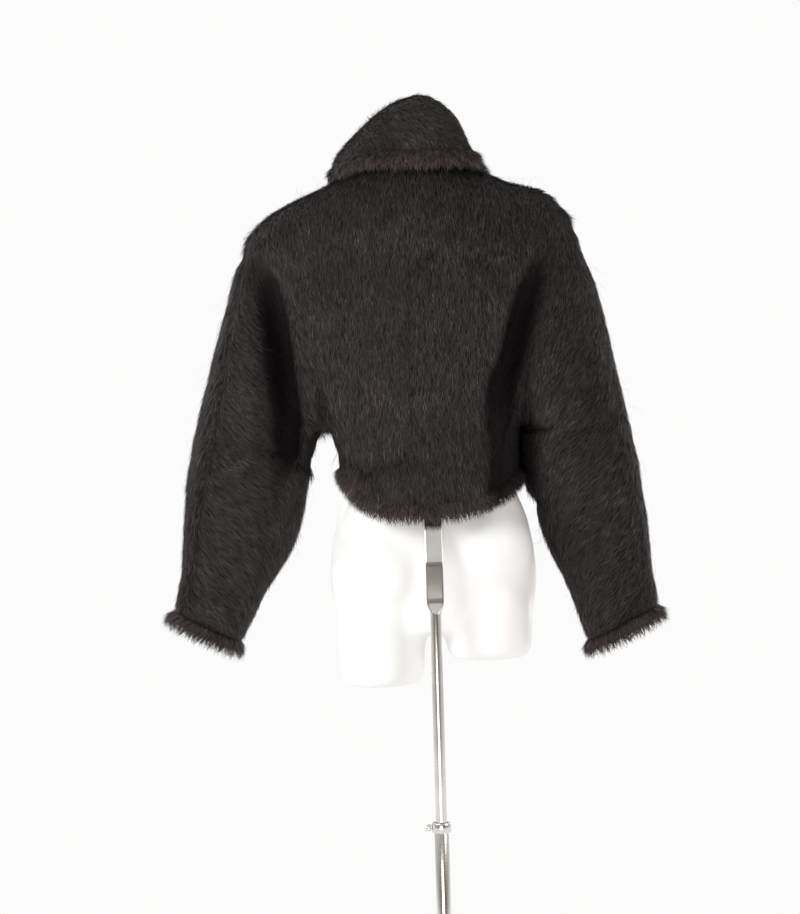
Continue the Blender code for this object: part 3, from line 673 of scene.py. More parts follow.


# Crease rows: start, end, depth, width, then ridge share and, where given, painted shade of the hair in the
# trough.
BOTH_CREASES = (
    ((-0.080, 1.440), (-0.206, 1.398), 0.0058, 0.0240, 0.0),
    ((-0.194, 1.398), (-0.264, 1.312), 0.0085, 0.0240, 0.0),
    ((0.232, 1.376), (0.288, 1.316), 0.0034, 0.0130, 0.0),
)
BACK_CREASES = (
    ((0.330, 1.046), (0.262, 1.030), 0.0040, 0.0085, 0.3, 0.15),
    ((0.262, 1.037), (0.196, 1.022), 0.0044, 0.0100, 0.3, 0.20),
    ((0.338, 0.968), (0.262, 0.960), 0.0036, 0.0130),
    ((0.312, 0.860), (0.268, 0.852), 0.0030, 0.0110),
    ((0.345, 1.000), (0.290, 1.012), 0.0026, 0.0090),
    ((-0.196, 1.034), (-0.246, 1.050), 0.0044, 0.0085, 0.3, 0.20),
    ((-0.234, 1.050), (-0.286, 1.066), 0.0038, 0.0090, 0.3, 0.15),
    ((-0.226, 0.950), (-0.300, 0.968), 0.0030, 0.0140),
    ((-0.252, 0.866), (-0.310, 0.880), 0.0026, 0.0110),
    ((0.060, 1.360), (0.032, 1.380), 0.0040, 0.0085, 0.2, 0.20),
    ((-0.026, 1.332), (-0.064, 1.358), 0.0046, 0.0085, 0.2, 0.28),
    ((0.020, 1.290), (-0.020, 1.317), 0.0048, 0.0090, 0.2, 0.30),
    ((-0.058, 1.292), (-0.090, 1.302), 0.0036, 0.0085, 0.2, 0.20),
    ((-0.112, 1.346), (-0.146, 1.338), 0.0030, 0.0080),
    ((0.128, 1.330), (0.160, 1.342), 0.0030, 0.0080),
    ((0.124, 1.006), (-0.004, 1.010), 0.0042, 0.0095, 0.3, 0.32),
    ((0.114, 1.006), (0.080, 0.988), 0.0044, 0.0085, 0.2, 0.32),
    ((-0.102, 1.130), (-0.108, 0.830), 0.0150, 0.0150, 0.0, 0.97),
    ((-0.124, 1.120), (-0.130, 0.830), 0.0030, 0.0200, 0.0, 0.97),
    ((0.205, 1.095), (0.216, 1.035), 0.0080, 0.0140, 0.0, 0.60),
    ((0.182, 1.075), (0.150, 1.050), 0.0045, 0.0080),
    ((-0.060, 1.010), (-0.004, 0.998), 0.0024, 0.0080),
    ((0.120, 1.120), (0.098, 1.210), 0.0024, 0.0150),
    ((-0.060, 1.090), (-0.036, 1.200), 0.0020, 0.0150),
)
FRONT_CREASES = (
    ((0.316, 1.034), (0.200, 1.024), 0.0062, 0.0080),
    ((0.332, 0.940), (0.262, 0.948), 0.0034, 0.0120),
    ((-0.190, 1.030), (-0.280, 1.046), 0.0060, 0.0080),
    ((-0.232, 0.930), (-0.306, 0.946), 0.0032, 0.0120),
    ((0.120, 1.300), (0.176, 1.180), 0.0050, 0.0140),
    ((-0.120, 1.300), (-0.170, 1.180), 0.0050, 0.0140),
    ((0.070, 1.180), (0.138, 1.120), 0.0038, 0.0100),
    ((-0.086, 1.190), (-0.136, 1.116), 0.0038, 0.0100),
    ((0.060, 1.096), (0.128, 1.062), 0.0030, 0.0090),
    ((-0.078, 1.100), (-0.130, 1.060), 0.0030, 0.0090),
)
CREASES = tuple(
    Crease(face, *row)
    for face, rows in ((Face.BACK, BACK_CREASES), (Face.FRONT, FRONT_CREASES))
    for row in rows + BOTH_CREASES
)


@dataclass(frozen=True)
class JacketCut:
    """Sizes of the bolero and the shape of its cloth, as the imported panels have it."""

    back_centre_x: float = 0.025
    front_centre_x: float = -0.020
    front_gap: float = 0.0245
    front_corner_radius: float = 0.060
    front_hem_z: float = 1.020
    back_hem_z: float = 0.943
    hem_rise: tuple = (0.054, 0.045)
    hem_rise_power: float = 3.2
    front_hem_power: float = 1.5
    hem_x: tuple = (0.138, 0.139)
    side_curve_power: float = 3.0
    body_roundness: float = 2.5
    yoke_roundness: float = 2.3
    sleeve_roundness: float = 2.1
    fold_body_side: float = 0.009
    fold_sleeve_side: float = 0.030
    front_fold_share: float = 0.45
    fold_side_power: int = 6
    fold_overarm_rise: float = 4.0
    neck_x: float = 0.008
    neck_half_width: float = 0.080
    neck_back: float = 0.068
    neck_front: float = 0.076
    neck_z: float = 1.450
    neck_front_drop: float = 0.060
    neck_drop_power: float = 1.5
    front_neck_angle: float = 150.0
    neck_share: float = 0.4
    arch_start_row: float = 1.6
    underarm_row: float = 3.0
    hem_row: float = 4.0
    cuff_row: float = 7.0
    web_station: float = 2.0
    end_station: float = 4.0
    knot_share: float = 0.40
    gap_rows: tuple = (0.75, 1.4)
    gap_reach: tuple = (0.010, -0.016)
    gap_power: float = 0.3
    collar_fold_radius: float = 0.010
    collar_bulge: float = 0.008
    collar_right_hollow: float = -0.003
    collar_hollow_end: tuple = (-75.0, 60.0)
    collar_stand_end: float = 0.35
    collar_fall_start: float = 0.55
    collar_front_inset: float = 0.0068
    collar_inset_angle: float = 15.0

    def arm(self, side: Side) -> tuple:
        """Sections of one sleeve."""
        return side.of((LEFT_ARM, RIGHT_ARM))

    def neck_point(self, angle: float) -> Vector:
        """A point of the neck seam; the angle runs from the centre back, left positive."""
        turn = radians(angle)
        depth = self.neck_back if cos(turn) > 0 else self.neck_front
        drop = self.neck_front_drop * max(0.0, -cos(turn)) ** self.neck_drop_power
        across = self.neck_x + self.neck_half_width * sin(turn)
        return Vector((across, depth * cos(turn), self.neck_z - drop))

    def shoulder_point(self, side: Side, station: float) -> Vector:
        """A point of the shoulder line, station 0 at the neck and 4 at its end."""
        x, z = (through(values, station) for values in zip(*SHOULDER[side]))
        return Vector((side * x, 0.0, z))

    def arch(self, row: float) -> float:
        """Share by which body and sleeve have parted, 1 at the underarm."""
        share = clamp((row - self.arch_start_row) / (self.underarm_row - self.arch_start_row))
        return 1.0 - sqrt(1.0 - share * share)

    def fold_dip(self, side: Side, face: Face, row: float, x: float) -> float:
        """Depth of the long fold between body and sleeve."""
        table = self.arm(side)
        offset = x - column(table, "fold_x", row)
        width = self.fold_body_side if offset < 0 else self.fold_sleeve_side
        share = 1.0 if face > 0 else self.front_fold_share
        return share * max(0.0, column(table, "fold_depth", row)) * exp(-((offset / width) ** 2))

    def body_depth(self, face: Face, row: float) -> float:
        """Signed depth of the body at its centre line."""
        return column(BODY, "back" if face > 0 else "front", row)

    def centre_x(self, side: Side, face: Face) -> float:
        """The centre line's x in the side's own direction."""
        return side * (self.back_centre_x if face > 0 else self.front_centre_x)

    def upper_depth(self, side: Side, face: Face, row: float, x: float) -> float:
        """Signed depth of the undivided section over the underarm."""
        middle = self.centre_x(side, face)
        outer = column(self.arm(side), "outer_x", row)
        return self.body_depth(face, row) * dome((x - middle) / (outer - middle), self.yoke_roundness)

    def side_x(self, side: Side, row: float) -> float:
        """Outermost x of the body: the web line above, the side seam below."""
        table = self.arm(side)
        if row <= self.underarm_row:
            return column(table, "inner_x", row)
        hem_x = side.of(self.hem_x)
        top = table[int(self.underarm_row)].inner_x
        return hem_x + (top - hem_x) * (self.hem_row - row) ** self.side_curve_power

    def front_edge_x(self, z: float) -> float:
        """Distance of the front edge from the centre line, rounded at the hem."""
        radius = self.front_corner_radius
        share = clamp((self.front_hem_z + radius - z) / radius)
        return self.front_gap + radius * (1.0 - sqrt(1.0 - share * share))

    def hem_z(self, side: Side, face: Face, share: float) -> float:
        """Height of the hem seam from the centre line, 0, to the side seam, 1."""
        side_z = self.back_hem_z + side.of(self.hem_rise)
        if face > 0:
            return mix(self.back_hem_z, side_z, share ** self.hem_rise_power)
        return mix(self.front_hem_z, side_z, share ** self.front_hem_power)

    def body_section(self, side: Side, face: Face, row: float, s: float) -> Vector:
        """A point of the body below the yoke; s runs from the centre line to the side."""
        edge = self.side_x(side, row)
        middle = self.centre_x(side, face)
        share = 0.5 * s + 0.5 * sin(0.5 * pi * s)
        level = column(self.arm(side), "inner_z", min(row, self.underarm_row))
        fall = max(0.0, row - self.underarm_row)
        z = mix(level, self.hem_z(side, face, share), fall)
        start = middle
        if face < 0:
            start += self.front_edge_x(mix(level, self.front_hem_z, fall))
        x = mix(start, edge, share)
        depth = self.body_depth(face, row) * dome((x - middle) / (edge - middle), self.body_roundness)
        parted = self.arch(row)
        if row < self.underarm_row:
            depth = mix(self.upper_depth(side, face, row, x), depth, parted)
        depth -= face * self.fold_dip(side, face, row, x) * (1.0 - s ** self.fold_side_power * parted)
        return Vector((side * x, depth, z))

    def yoke_turn(self, top: Vector, section: Vector, row: float) -> Vector:
        """Carry the cloth from the shoulder seam round to the yoke section."""
        turn = 0.5 * pi * (row + 1.0)
        flat = mix(top, section, sin(turn))
        return Vector((flat.x, flat.y, mix(top.z, section.z, 1.0 - cos(turn))))

    def body_point(self, side: Side, face: Face, row: float, s: float) -> Vector:
        """A point of the body, from shoulder seam to hem."""
        if row >= 0.0:
            return self.body_section(side, face, row, s)
        if s <= self.neck_share:
            start = 0.0 if face > 0 else self.front_neck_angle
            top = self.neck_point(side * mix(start, SIDE_ANGLE, s / self.neck_share))
        else:
            station = self.web_station * (s - self.neck_share) / (1.0 - self.neck_share)
            top = self.shoulder_point(side, station)
        return self.yoke_turn(top, self.body_section(side, face, 0.0, s), row)

    def gap_ease(self, side: Side, row: float) -> float:
        """How far the sleeve's inner edge draws off from the body under the arm."""
        share = clamp((row - self.underarm_row) / side.of(self.gap_rows))
        return side.of(self.gap_reach) * abs(sin(pi * share)) ** self.gap_power

    def sleeve_section(self, side: Side, face: Face, row: float, step: float) -> Vector:
        """A point of a sleeve section: step 0 web line, 1 fold, 2 overarm."""
        table = self.arm(side)
        inner = column(table, "inner_x", row) + self.gap_ease(side, row)
        outer = column(table, "outer_x", row)
        knot = column(table, "fold_x", row)
        if knot <= inner:
            knot = mix(inner, outer, self.knot_share)
        x = mix(inner, knot, step) if step <= 1.0 else mix(knot, outer, step - 1.0)
        share = (x - inner) / (outer - inner)
        z = mix(column(table, "inner_z", row), column(table, "outer_z", row), share)
        middle_y = column(table, "centre_y", row) if row > self.underarm_row else 0.0
        depth = face * column(table, "depth", row) * dome(2.0 * share - 1.0, self.sleeve_roundness)
        parted = self.arch(row)
        if row < self.underarm_row:
            depth = mix(self.upper_depth(side, face, row, x), depth, parted)
        keep = 1.0 - (1.0 - min(1.0, step)) ** 2 * parted
        keep *= min(1.0, self.fold_overarm_rise * (1.0 - share))
        depth -= face * self.fold_dip(side, face, row, x) * keep
        return Vector((side * x, middle_y + depth, z))

    def sleeve_point(self, side: Side, face: Face, row: float, step: float) -> Vector:
        """A point of the sleeve, from shoulder seam to cuff."""
        if row >= 0.0:
            return self.sleeve_section(side, face, row, step)
        station = mix(self.web_station, self.end_station, 0.5 * step)
        section = self.sleeve_section(side, face, 0.0, step)
        return self.yoke_turn(self.shoulder_point(side, station), section, row)

    def collar_point(self, angle: float, w: float) -> Vector:
        """A point of the collar's outside: w 0 at the neck seam, 1 at the free edge."""
        angles = [row.angle for row in COLLAR]
        k = max(i for i, value in enumerate(angles[:-1]) if value <= angle)
        station = k + (angle - angles[k]) / (angles[k + 1] - angles[k])
        fold = Vector([column(COLLAR, name, station) for name in ("fold_x", "fold_y", "fold_z")])
        edge = Vector([column(COLLAR, name, station) for name in ("edge_x", "edge_y", "edge_z")])
        out = Vector((sin(radians(angle)), cos(radians(angle)), 0.0))
        up = Vector((0.0, 0.0, 1.0))
        inset = self.collar_front_inset * clamp((abs(angle) - SIDE_ANGLE) / self.collar_inset_angle)
        radius = self.collar_fold_radius
        hub = fold - up * radius
        if w <= self.collar_stand_end:
            return mix(self.neck_point(angle) - out * inset, hub - out * radius, w / self.collar_stand_end)
        if w <= self.collar_fall_start:
            over = self.collar_fall_start - self.collar_stand_end
            turn = pi * (1.0 - (w - self.collar_stand_end) / over)
            return hub + (out * cos(turn) + up * sin(turn)) * radius
        share = (w - self.collar_fall_start) / (1.0 - self.collar_fall_start)
        bulge = mix(self.collar_right_hollow, self.collar_bulge, rise(angle, *self.collar_hollow_end))
        swell = (out + up) * (bulge * sin(pi * share) * sqrt(0.5))
        return mix(hub + out * radius, edge, share) + swell


class ClothGround:
    """A piece of cloth ground: its points, faces and normals, and the lie of its pile."""

    def __init__(
        self,
        points: np.ndarray,
        faces: list,
        normals: np.ndarray,
        nap: np.ndarray,
        fullness: np.ndarray,
        shade: np.ndarray,
    ) -> None:
        """Keep the arrays; nap is turned into the cloth's own plane.

        Args:
            points: Places of the ground.
            faces: Loops of point numbers that face outwards.
            normals: Unit normals of the points.
            nap: The way the hair is brushed at each point.
            fullness: Length of the hair at each point, 1 for full.
            shade: Lightness of the hair at each point, 1 for full; lower values are painted shade.
        """
        self.points = points
        self.faces = faces
        self.normals = normals
        flat = nap - normals * np.sum(nap * normals, axis=1)[:, None]
        self.nap = flat / np.maximum(1e-9, np.linalg.norm(flat, axis=1))[:, None]
        self.fullness = fullness
        self.shade = shade

    def border(self) -> list:
        """Directed edges that only one face has."""
        seen = {}
        for loop in self.faces:
            for k, v in enumerate(loop):
                seen[(loop[k - 1], v)] = True
        return [edge for edge in seen if (edge[1], edge[0]) not in seen]

    def shell(self, name: str, wall: float, material: bpy.types.Material) -> bpy.types.Object:
        """Build the closed thin cloth.

        Args:
            name: Name of the piece.
            wall: Thickness of the ground.
            material: Finish of the ground.

        Returns:
            The cloth's object.
        """
        inner = self.points - self.normals * wall
        count = len(self.points)
        faces = [tuple(loop) for loop in self.faces]
        faces += [tuple(v + count for v in reversed(loop)) for loop in self.faces]
        faces += [(b, a, a + count, b + count) for a, b in self.border()]
        mesh = bpy.data.meshes.new(name)
        mesh.from_pydata([tuple(p) for p in np.vstack((self.points, inner))], [], faces)
        mesh.shade_smooth()
        mesh.update()
        return add_object(name, mesh, material)

    def turf(self, name: str) -> bpy.types.Object:
        """Build the open surface that the hair grows on, with its nap, fullness and painted shade."""
        mesh = bpy.data.meshes.new(name)
        mesh.from_pydata([tuple(p) for p in self.points], [], [tuple(loop) for loop in self.faces])
        mesh.update()
        nap = mesh.attributes.new("nap", "FLOAT_VECTOR", "POINT")
        nap.data.foreach_set("vector", self.nap.astype(np.float32).ravel())
        for mark, values in (("fullness", self.fullness), ("shade", self.shade)):
            made = mesh.attributes.new(mark, "FLOAT", "POINT")
            made.data.foreach_set("value", values.astype(np.float32))
        return add_object(name, mesh)

    def area(self) -> float:
        """Area of the ground in square metres."""
        total = 0.0
        for loop in self.faces:
            corner = self.points[loop[0]]
            for a, b in zip(loop[1:], loop[2:]):
                cross = np.cross(self.points[a] - corner, self.points[b] - corner)
                total += 0.5 * float(np.linalg.norm(cross))
        return total


def surface_normals(points: np.ndarray, faces: list) -> np.ndarray:
    """Area-weighted unit normals of the points of a surface."""
    sums = np.zeros_like(points)
    for loop in faces:
        corners = points[list(loop)]
        normal = np.cross(np.roll(corners, 1, axis=0), corners).sum(axis=0)
        for v in loop:
            sums[v] += normal
    return sums / np.maximum(1e-12, np.linalg.norm(sums, axis=1))[:, None]


def faced(points: np.ndarray, quads: list, wanted: np.ndarray) -> tuple:
    """Loops and unit normals of a surface, turned over if it faces away from what is wanted."""
    normals = surface_normals(points, quads)
    if float(np.sum(normals * wanted)) >= 0.0:
        return quads, normals
    return [loop[::-1] for loop in quads], -normals


def strip_quads(rows: int, wide: int, closed: bool) -> list:
    """Quads between rows of points; closed rows are rings."""
    made = []
    for k in range(rows):
        for i in range(wide if closed else wide - 1):
            j = (i + 1) % wide
            made.append([k * wide + i, k * wide + j, (k + 1) * wide + j, (k + 1) * wide + i])
    return made


def lumps(points: np.ndarray, waves: Sequence[tuple]) -> np.ndarray:
    """Moves along the normals for soft uneven lumps of (rough distance, height)."""
    return np.array([sum(high * noise.noise(Vector(p) / size) for size, high in waves) for p in points])


class Weave:
    """Gathers the jacket's points, welded at the seams, and its faces panel by panel."""

    ROUNDING = 1e6

    def __init__(self) -> None:
        """Start with nothing woven."""
        self.index: dict = {}
        self.points: list = []
        self.naps: list = []
        self.facing: list = []
        self.grooves: list = []
        self.painted_shade_shares: list = []
        self.quads: list = []

    def vertex(self, point: Vector, nap: Vector, face: Face, groove: float, painted_shade_share: float) -> int:
        """Number of a point, shared with any seam neighbour."""
        key = tuple(round(value * self.ROUNDING) for value in point)
        if key not in self.index:
            self.index[key] = len(self.points)
            self.points.append(tuple(point))
            self.naps.append(tuple(nap))
            self.facing.append(int(face))
            self.grooves.append(groove)
            self.painted_shade_shares.append(painted_shade_share)
        number = self.index[key]
        self.grooves[number] = max(self.grooves[number], groove)
        return number

    def join(self, rows: list, outward: bool, names: Sequence[str]) -> None:
        """Add the quads between rows of point numbers, with the panel's name of each column."""
        for upper, lower in zip(rows, rows[1:]):
            for i in range(len(upper) - 1):
                loop = [upper[i], upper[i + 1], lower[i + 1], lower[i]]
                loop = loop if outward else loop[::-1]
                loop = [v for k, v in enumerate(loop) if v != loop[k - 1]]
                if len(loop) > 2:
                    self.quads.append((loop, names[i]))


@dataclass
class Bolero:
    """The jacket: four panels cut in one with the sleeves, a folded collar and shaggy edge bands."""

    cut: JacketCut = field(default_factory=JacketCut)
    ground_depth: float = 0.0040
    ground_wall: float = 0.0018
    seam_groove: float = 0.0034
    seam_width: float = 0.0045
    centre_groove_share: float = 0.30
    turn_steps: int = 12
    yoke_steps: int = 16
    arch_steps: int = 18
    hem_steps: int = 14
    sleeve_steps: int = 44
    body_columns: int = 34
    inner_columns: int = 12
    outer_columns: int = 22
    seam_steps: tuple = (1.815, 1.9649)
    sleeve_naps: tuple = (54.0, 44.0)
    web_nap: float = 12.0
    strip_nap_share: float = 0.6
    nap_rows: tuple = (-0.2, 1.8)
    nap_steps: tuple = (0.0, 1.3)
    side_nap: tuple = (0.55, 0.45)
    shoulder_nap: float = 0.6
    low_pile: float = 0.55
    cloth_lumps: tuple = ((0.055, 0.0016), (0.020, 0.0006))
    fold_full: float = 0.034
    # Painted shade: share by which the hair darkens in the long folds beside the sleeves.
    fold_shade: float = 0.93
    fold_sink: float = 0.0035
    hem_seam_rows: float = 0.09
    cuff_seam_rows: float = 0.15
    # Painted shade: share by which the hair darkens in a line along the seams above the hem, cuff and collar
    # bands.
    edge_shade: float = 0.60
    soften_reach: float = 0.028
    soften_span: float = 0.060
    underarm_z: float = 1.050
    soften_body: tuple = (0.30, 0.30)
    soften_side: tuple = (0.85, 0.15)
    soften_sleeve: tuple = (0.25, 0.50)
    collar_columns: int = 96
    collar_rows: int = 44
    collar_turnover: tuple = (0.22, 0.25)
    collar_out_nap: float = 0.25
    collar_up_nap: tuple = (0.90, -0.75)
    collar_round_nap: tuple = (0.35, 0.90)
    collar_edge: tuple = (0.8, 0.2)
    collar_edge_nap: float = 0.6
    collar_seam: tuple = (0.93, 0.07)
    collar_seam_full: float = 0.5
    collar_full: float = 0.62
    collar_fold: tuple = (0.47, 0.14)
    collar_lumps: tuple = ((0.045, 0.0026), (0.018, 0.0007))
    collar_droop: float = 1.1
    collar_droop_angles: tuple = (25.0, 50.0)
    stand_tuck: float = 0.012
    band_width: float = 0.013
    cuff_flare: float = 0.60
    band_tuck: float = 0.006
    band_tuck_depth: float = 0.0066
    band_puff: float = 0.0032
    # Painted shade: share by which band hair darkens where dark creases pass the band.
    band_shade: float = 0.75
    band_rows: int = 6
    band_columns: int = 120
    back_hem_inset: float = 0.08
    front_hem_inset: float = 0.30
    front_edge_top: float = -0.26
    front_edge_steps: int = 80
    front_edge_power: float = 1.25
    front_edge_inset: float = 0.04
    cuff_inset: float = 0.2
    collar_inset: float = 0.04

    def upper_rows(self) -> list:
        """Row numbers from the shoulder seam to the underarm."""
        turn = [-1.0 + i / self.turn_steps for i in range(self.turn_steps)]
        start = self.cut.arch_start_row
        yoke = [start * i / self.yoke_steps for i in range(self.yoke_steps)]
        reach = self.cut.underarm_row - start
        arch = [start + reach * sin(0.5 * pi * i / self.arch_steps) for i in range(self.arch_steps + 1)]
        return turn + yoke + arch

    def sleeve_loop(self, side: Side) -> list:
        """Columns round a sleeve as (face, step, panel), with one on the overarm seam."""
        inner = [0.5 - 0.5 * cos(pi * i / self.inner_columns) for i in range(self.inner_columns)]
        outer = [1.5 - 0.5 * cos(pi * i / self.outer_columns) for i in range(self.outer_columns + 1)]
        seam = side.of(self.seam_steps)
        steps = inner + outer
        nearest = min(range(len(steps) - 1), key=lambda i: abs(steps[i] - seam))
        steps[nearest] = seam
        loop = [(Face.BACK, step) for step in steps]
        loop += [(Face.FRONT, step) for step in reversed(steps[:-1])]
        split = loop.index((side.of((Face.BACK, Face.FRONT)), seam))
        return [(face, step, Face.BACK if i < split else Face.FRONT) for i, (face, step) in enumerate(loop)]

    def sleeve_nap(self, side: Side, row: float, step: float) -> float:
        """Angle of the nap from straight down, turning with the sleeve."""
        full = side.of(self.sleeve_naps)
        return mix(self.web_nap, full, rise(step, *self.nap_steps) * rise(row, *self.nap_rows))

    def lie(self, side: Side, face: Face, row: float, angle: float) -> Vector:
        """Direction of the nap before it is laid in the cloth's plane."""
        turn = radians(angle)
        over = self.shoulder_nap * clamp(self.shoulder_nap - row)
        return Vector((-side * sin(turn), face * over, -cos(turn)))

    def fold_share(self, side: Side, face: Face, row: float, place: Vector) -> float:
        """How deep in the long fold beside the sleeve a place lies, 1 at its floor."""
        if row < 0.0:
            return 0.0
        return clamp(self.cut.fold_dip(side, face, row, side * place.x) / self.fold_full)

    def soften(self, grid: list, shares: list) -> None:
        """Ease the cloth's depth where sleeve and body part, so that no shelf shows there.

        Args:
            grid: Rows of places of the cloth, changed in place.
            shares: How much each column is eased.
        """
        heights = np.array([[place.z for place in row] for row in grid])
        depths = np.array([[place.y for place in row] for row in grid])
        spans = np.abs(np.gradient(heights, axis=0))
        for i, most in enumerate(shares):
            z = heights[:, i]
            near = np.exp(-(((z[:, None] - z[None, :]) / self.soften_reach) ** 2)) * spans[None, :, i]
            eased = near @ depths[:, i] / near.sum(axis=1)
            share = most * np.exp(-(((z - self.underarm_z) / self.soften_span) ** 2))
            for row, value in zip(grid, depths[:, i] + share * (eased - depths[:, i])):
                row[i].y = value

    def weave_body(self, woven: Weave, side: Side, face: Face) -> None:
        """Add one half of the back or the front, from shoulder seam to hem."""
        cut = self.cut
        hem = [cut.underarm_row + (i + 1) / self.hem_steps for i in range(self.hem_steps)]
        levels = self.upper_rows() + hem
        spread = [i / self.body_columns for i in range(self.body_columns + 1)]
        grid = [[cut.body_point(side, face, row, s) for s in spread] for row in levels]
        self.soften(grid, [rise(s, *self.soften_body) * (1.0 - rise(s, *self.soften_side)) for s in spread])
        rows = []
        for row, places in zip(levels, grid):
            edge = ease(1.0 - (cut.hem_row - row) / self.hem_seam_rows)
            made = []
            for s, place in zip(spread, places):
                nap = self.lie(side, face, row, self.web_nap * rise(s, *self.side_nap))
                gap = abs(place.x - side * cut.centre_x(side, face)) if face > 0 else 1.0
                groove = self.centre_groove_share * exp(-((gap / self.seam_width) ** 2))
                # Painted shade of the fold and of a line along the seam above the hem band.
                painted_shade_share = max(self.fold_share(side, face, row, place), self.edge_shade * edge)
                made.append(woven.vertex(place, nap, face, max(groove, edge), painted_shade_share))
            rows.append(made)
        woven.join(rows, side * face > 0, [PANELS[side, face]] * len(spread))

    def weave_sleeve(self, woven: Weave, side: Side) -> None:
        """Add one sleeve, from shoulder seam to cuff."""
        cut = self.cut
        reach = cut.cuff_row - cut.underarm_row
        arm = [cut.underarm_row + reach * (i + 1) / self.sleeve_steps for i in range(self.sleeve_steps)]
        levels = self.upper_rows() + arm
        loop = self.sleeve_loop(side)
        seam = next(i for i, item in enumerate(loop) if item[2] is Face.FRONT)
        grid = [[cut.sleeve_point(side, face, row, step) for face, step, _ in loop] for row in levels]
        self.soften(grid, [rise(step, *self.soften_sleeve) for _, step, _ in loop])
        rows = []
        for row, places in zip(levels, grid):
            edge = ease(1.0 - (cut.cuff_row - row) / self.cuff_seam_rows)
            made = []
            for place, (face, step, panel) in zip(places, loop):
                angle = self.sleeve_nap(side, row, step)
                angle = angle if panel is face else -self.strip_nap_share * angle
                nap = self.lie(side, face, row, angle)
                gap = (place - places[seam]).length
                groove = max(exp(-((gap / self.seam_width) ** 2)), edge)
                # Painted shade of the fold and of a line along the seam above the cuff band.
                painted_shade_share = max(self.fold_share(side, face, row, place), self.edge_shade * edge)
                made.append(woven.vertex(place, nap, face, groove, painted_shade_share))
            rows.append(made)
        woven.join(rows, side > 0, [PANELS[side, item[2]] for item in loop])

    def build_ground(self) -> dict:
        """Shape the whole jacket as one welded surface, crease it and part it into panels.

        Returns:
            The ground of each panel by the name of its node.
        """
        woven = Weave()
        for side in Side:
            for face in Face:
                self.weave_body(woven, side, face)
            self.weave_sleeve(woven, side)
        quads = woven.quads
        points, naps, facing = np.array(woven.points), np.array(woven.naps), np.array(woven.facing)
        grooves, painted_shade_shares = np.array(woven.grooves), np.array(woven.painted_shade_shares)
        loops = [loop for loop, _ in quads]
        normals = surface_normals(points, loops)
        move = -self.ground_depth - self.seam_groove * grooves
        # Creases move the ground; the dark ones add painted shade to the hair of their troughs.
        for crease in CREASES:
            pressed, dark = crease.press(points, facing)
            move = move + pressed
            painted_shade_shares = np.maximum(painted_shade_shares, dark)
        move = move + lumps(points, self.cloth_lumps)
        ground = points + normals * move[:, None]
        creased = surface_normals(ground, loops)
        panels = {}
        for name in PANELS.values():
            mine = [loop for loop, panel in quads if panel == name]
            used = sorted({v for loop in mine for v in loop})
            number = {v: i for i, v in enumerate(used)}
            faces = [[number[v] for v in loop] for loop in mine]
            # Hair is shortened, and darkened with painted shade, in folds, dark creases and along the seams
            # above the bands.
            full = (1.0 - self.low_pile * grooves[used]) * (1.0 - self.low_pile * painted_shade_shares[used])
            shade = 1.0 - self.fold_shade * painted_shade_shares[used]
            panels[name] = ClothGround(ground[used], faces, creased[used], naps[used], full, shade)
        return panels

    def collar_ground(self) -> ClothGround:
        """Ground of the collar: stand, fold and fall."""
        last = self.cut.front_neck_angle
        wide = self.collar_columns + 1
        angles = [mix(-last, last, i / self.collar_columns) for i in range(wide)]
        shares = [k / self.collar_rows for k in range(self.collar_rows + 1)]
        points = []
        naps = []
        for w in shares:
            fallen = rise(w, *self.collar_turnover)
            level = mix(*self.collar_up_nap, fallen)
            lean = mix(*self.collar_round_nap, fallen)
            lean *= 1.0 - self.collar_edge_nap * rise(w, *self.collar_edge)
            for angle in angles:
                place = self.cut.collar_point(angle, w)
                place.z -= self.stand_tuck * clamp(1.0 - w / self.cut.collar_stand_end)
                points.append(tuple(place))
                c, s = cos(radians(angle)), sin(radians(angle))
                down = Vector((self.collar_out_nap * s, self.collar_out_nap * c, level))
                naps.append(tuple(Vector((-c, s, 0.0)) * lean + down))
        flat = np.array(points)
        out = flat - flat.mean(axis=0)
        out[: int(self.collar_edge[0] * len(flat))] = 0.0
        quads, normals = faced(flat, strip_quads(self.collar_rows, wide, False), out)
        middle, width = self.collar_fold
        sink = self.fold_sink * np.exp(-(((np.repeat(shares, wide) - middle) / width) ** 2))
        move = -self.ground_depth - sink + lumps(flat, self.collar_lumps)
        ground = flat + normals * move[:, None]
        # Along the seam to the band the hair is shortened and darkened with painted shade.
        seam = np.repeat([rise(w, *self.collar_seam) for w in shares], wide)
        full = self.collar_full * (1.0 - self.collar_seam_full * seam)
        shade = 1.0 - self.edge_shade * seam
        return ClothGround(ground, quads, surface_normals(ground, quads), np.array(naps), full, shade)

    def edge_ground(self, path: list, closed: bool) -> ClothGround:
        """Ground of an edge band: a puffed strip on from the cloth's edge.

        Args:
            path: (place, way of the hair, outward normal, way out of the cloth) along the edge.
            closed: Whether the edge is a ring.

        Returns:
            The strip's ground.
        """
        points = []
        naps = []
        for k in range(self.band_rows + 1):
            w = k / self.band_rows
            for place, out, normal, straight in path:
                puff = self.band_puff * sin(pi * w) - mix(self.band_tuck_depth, self.ground_depth, w)
                reach = mix(-self.band_tuck, self.band_width, w)
                way = straight if reach < 0.0 else out
                points.append(tuple(place + way * reach + normal * puff))
                naps.append(tuple(out))
        flat = np.array(points)
        wanted = np.array([tuple(item[2]) for item in path] * (self.band_rows + 1))
        facing = np.where(flat[:, 1] > 0.0, 1, -1)
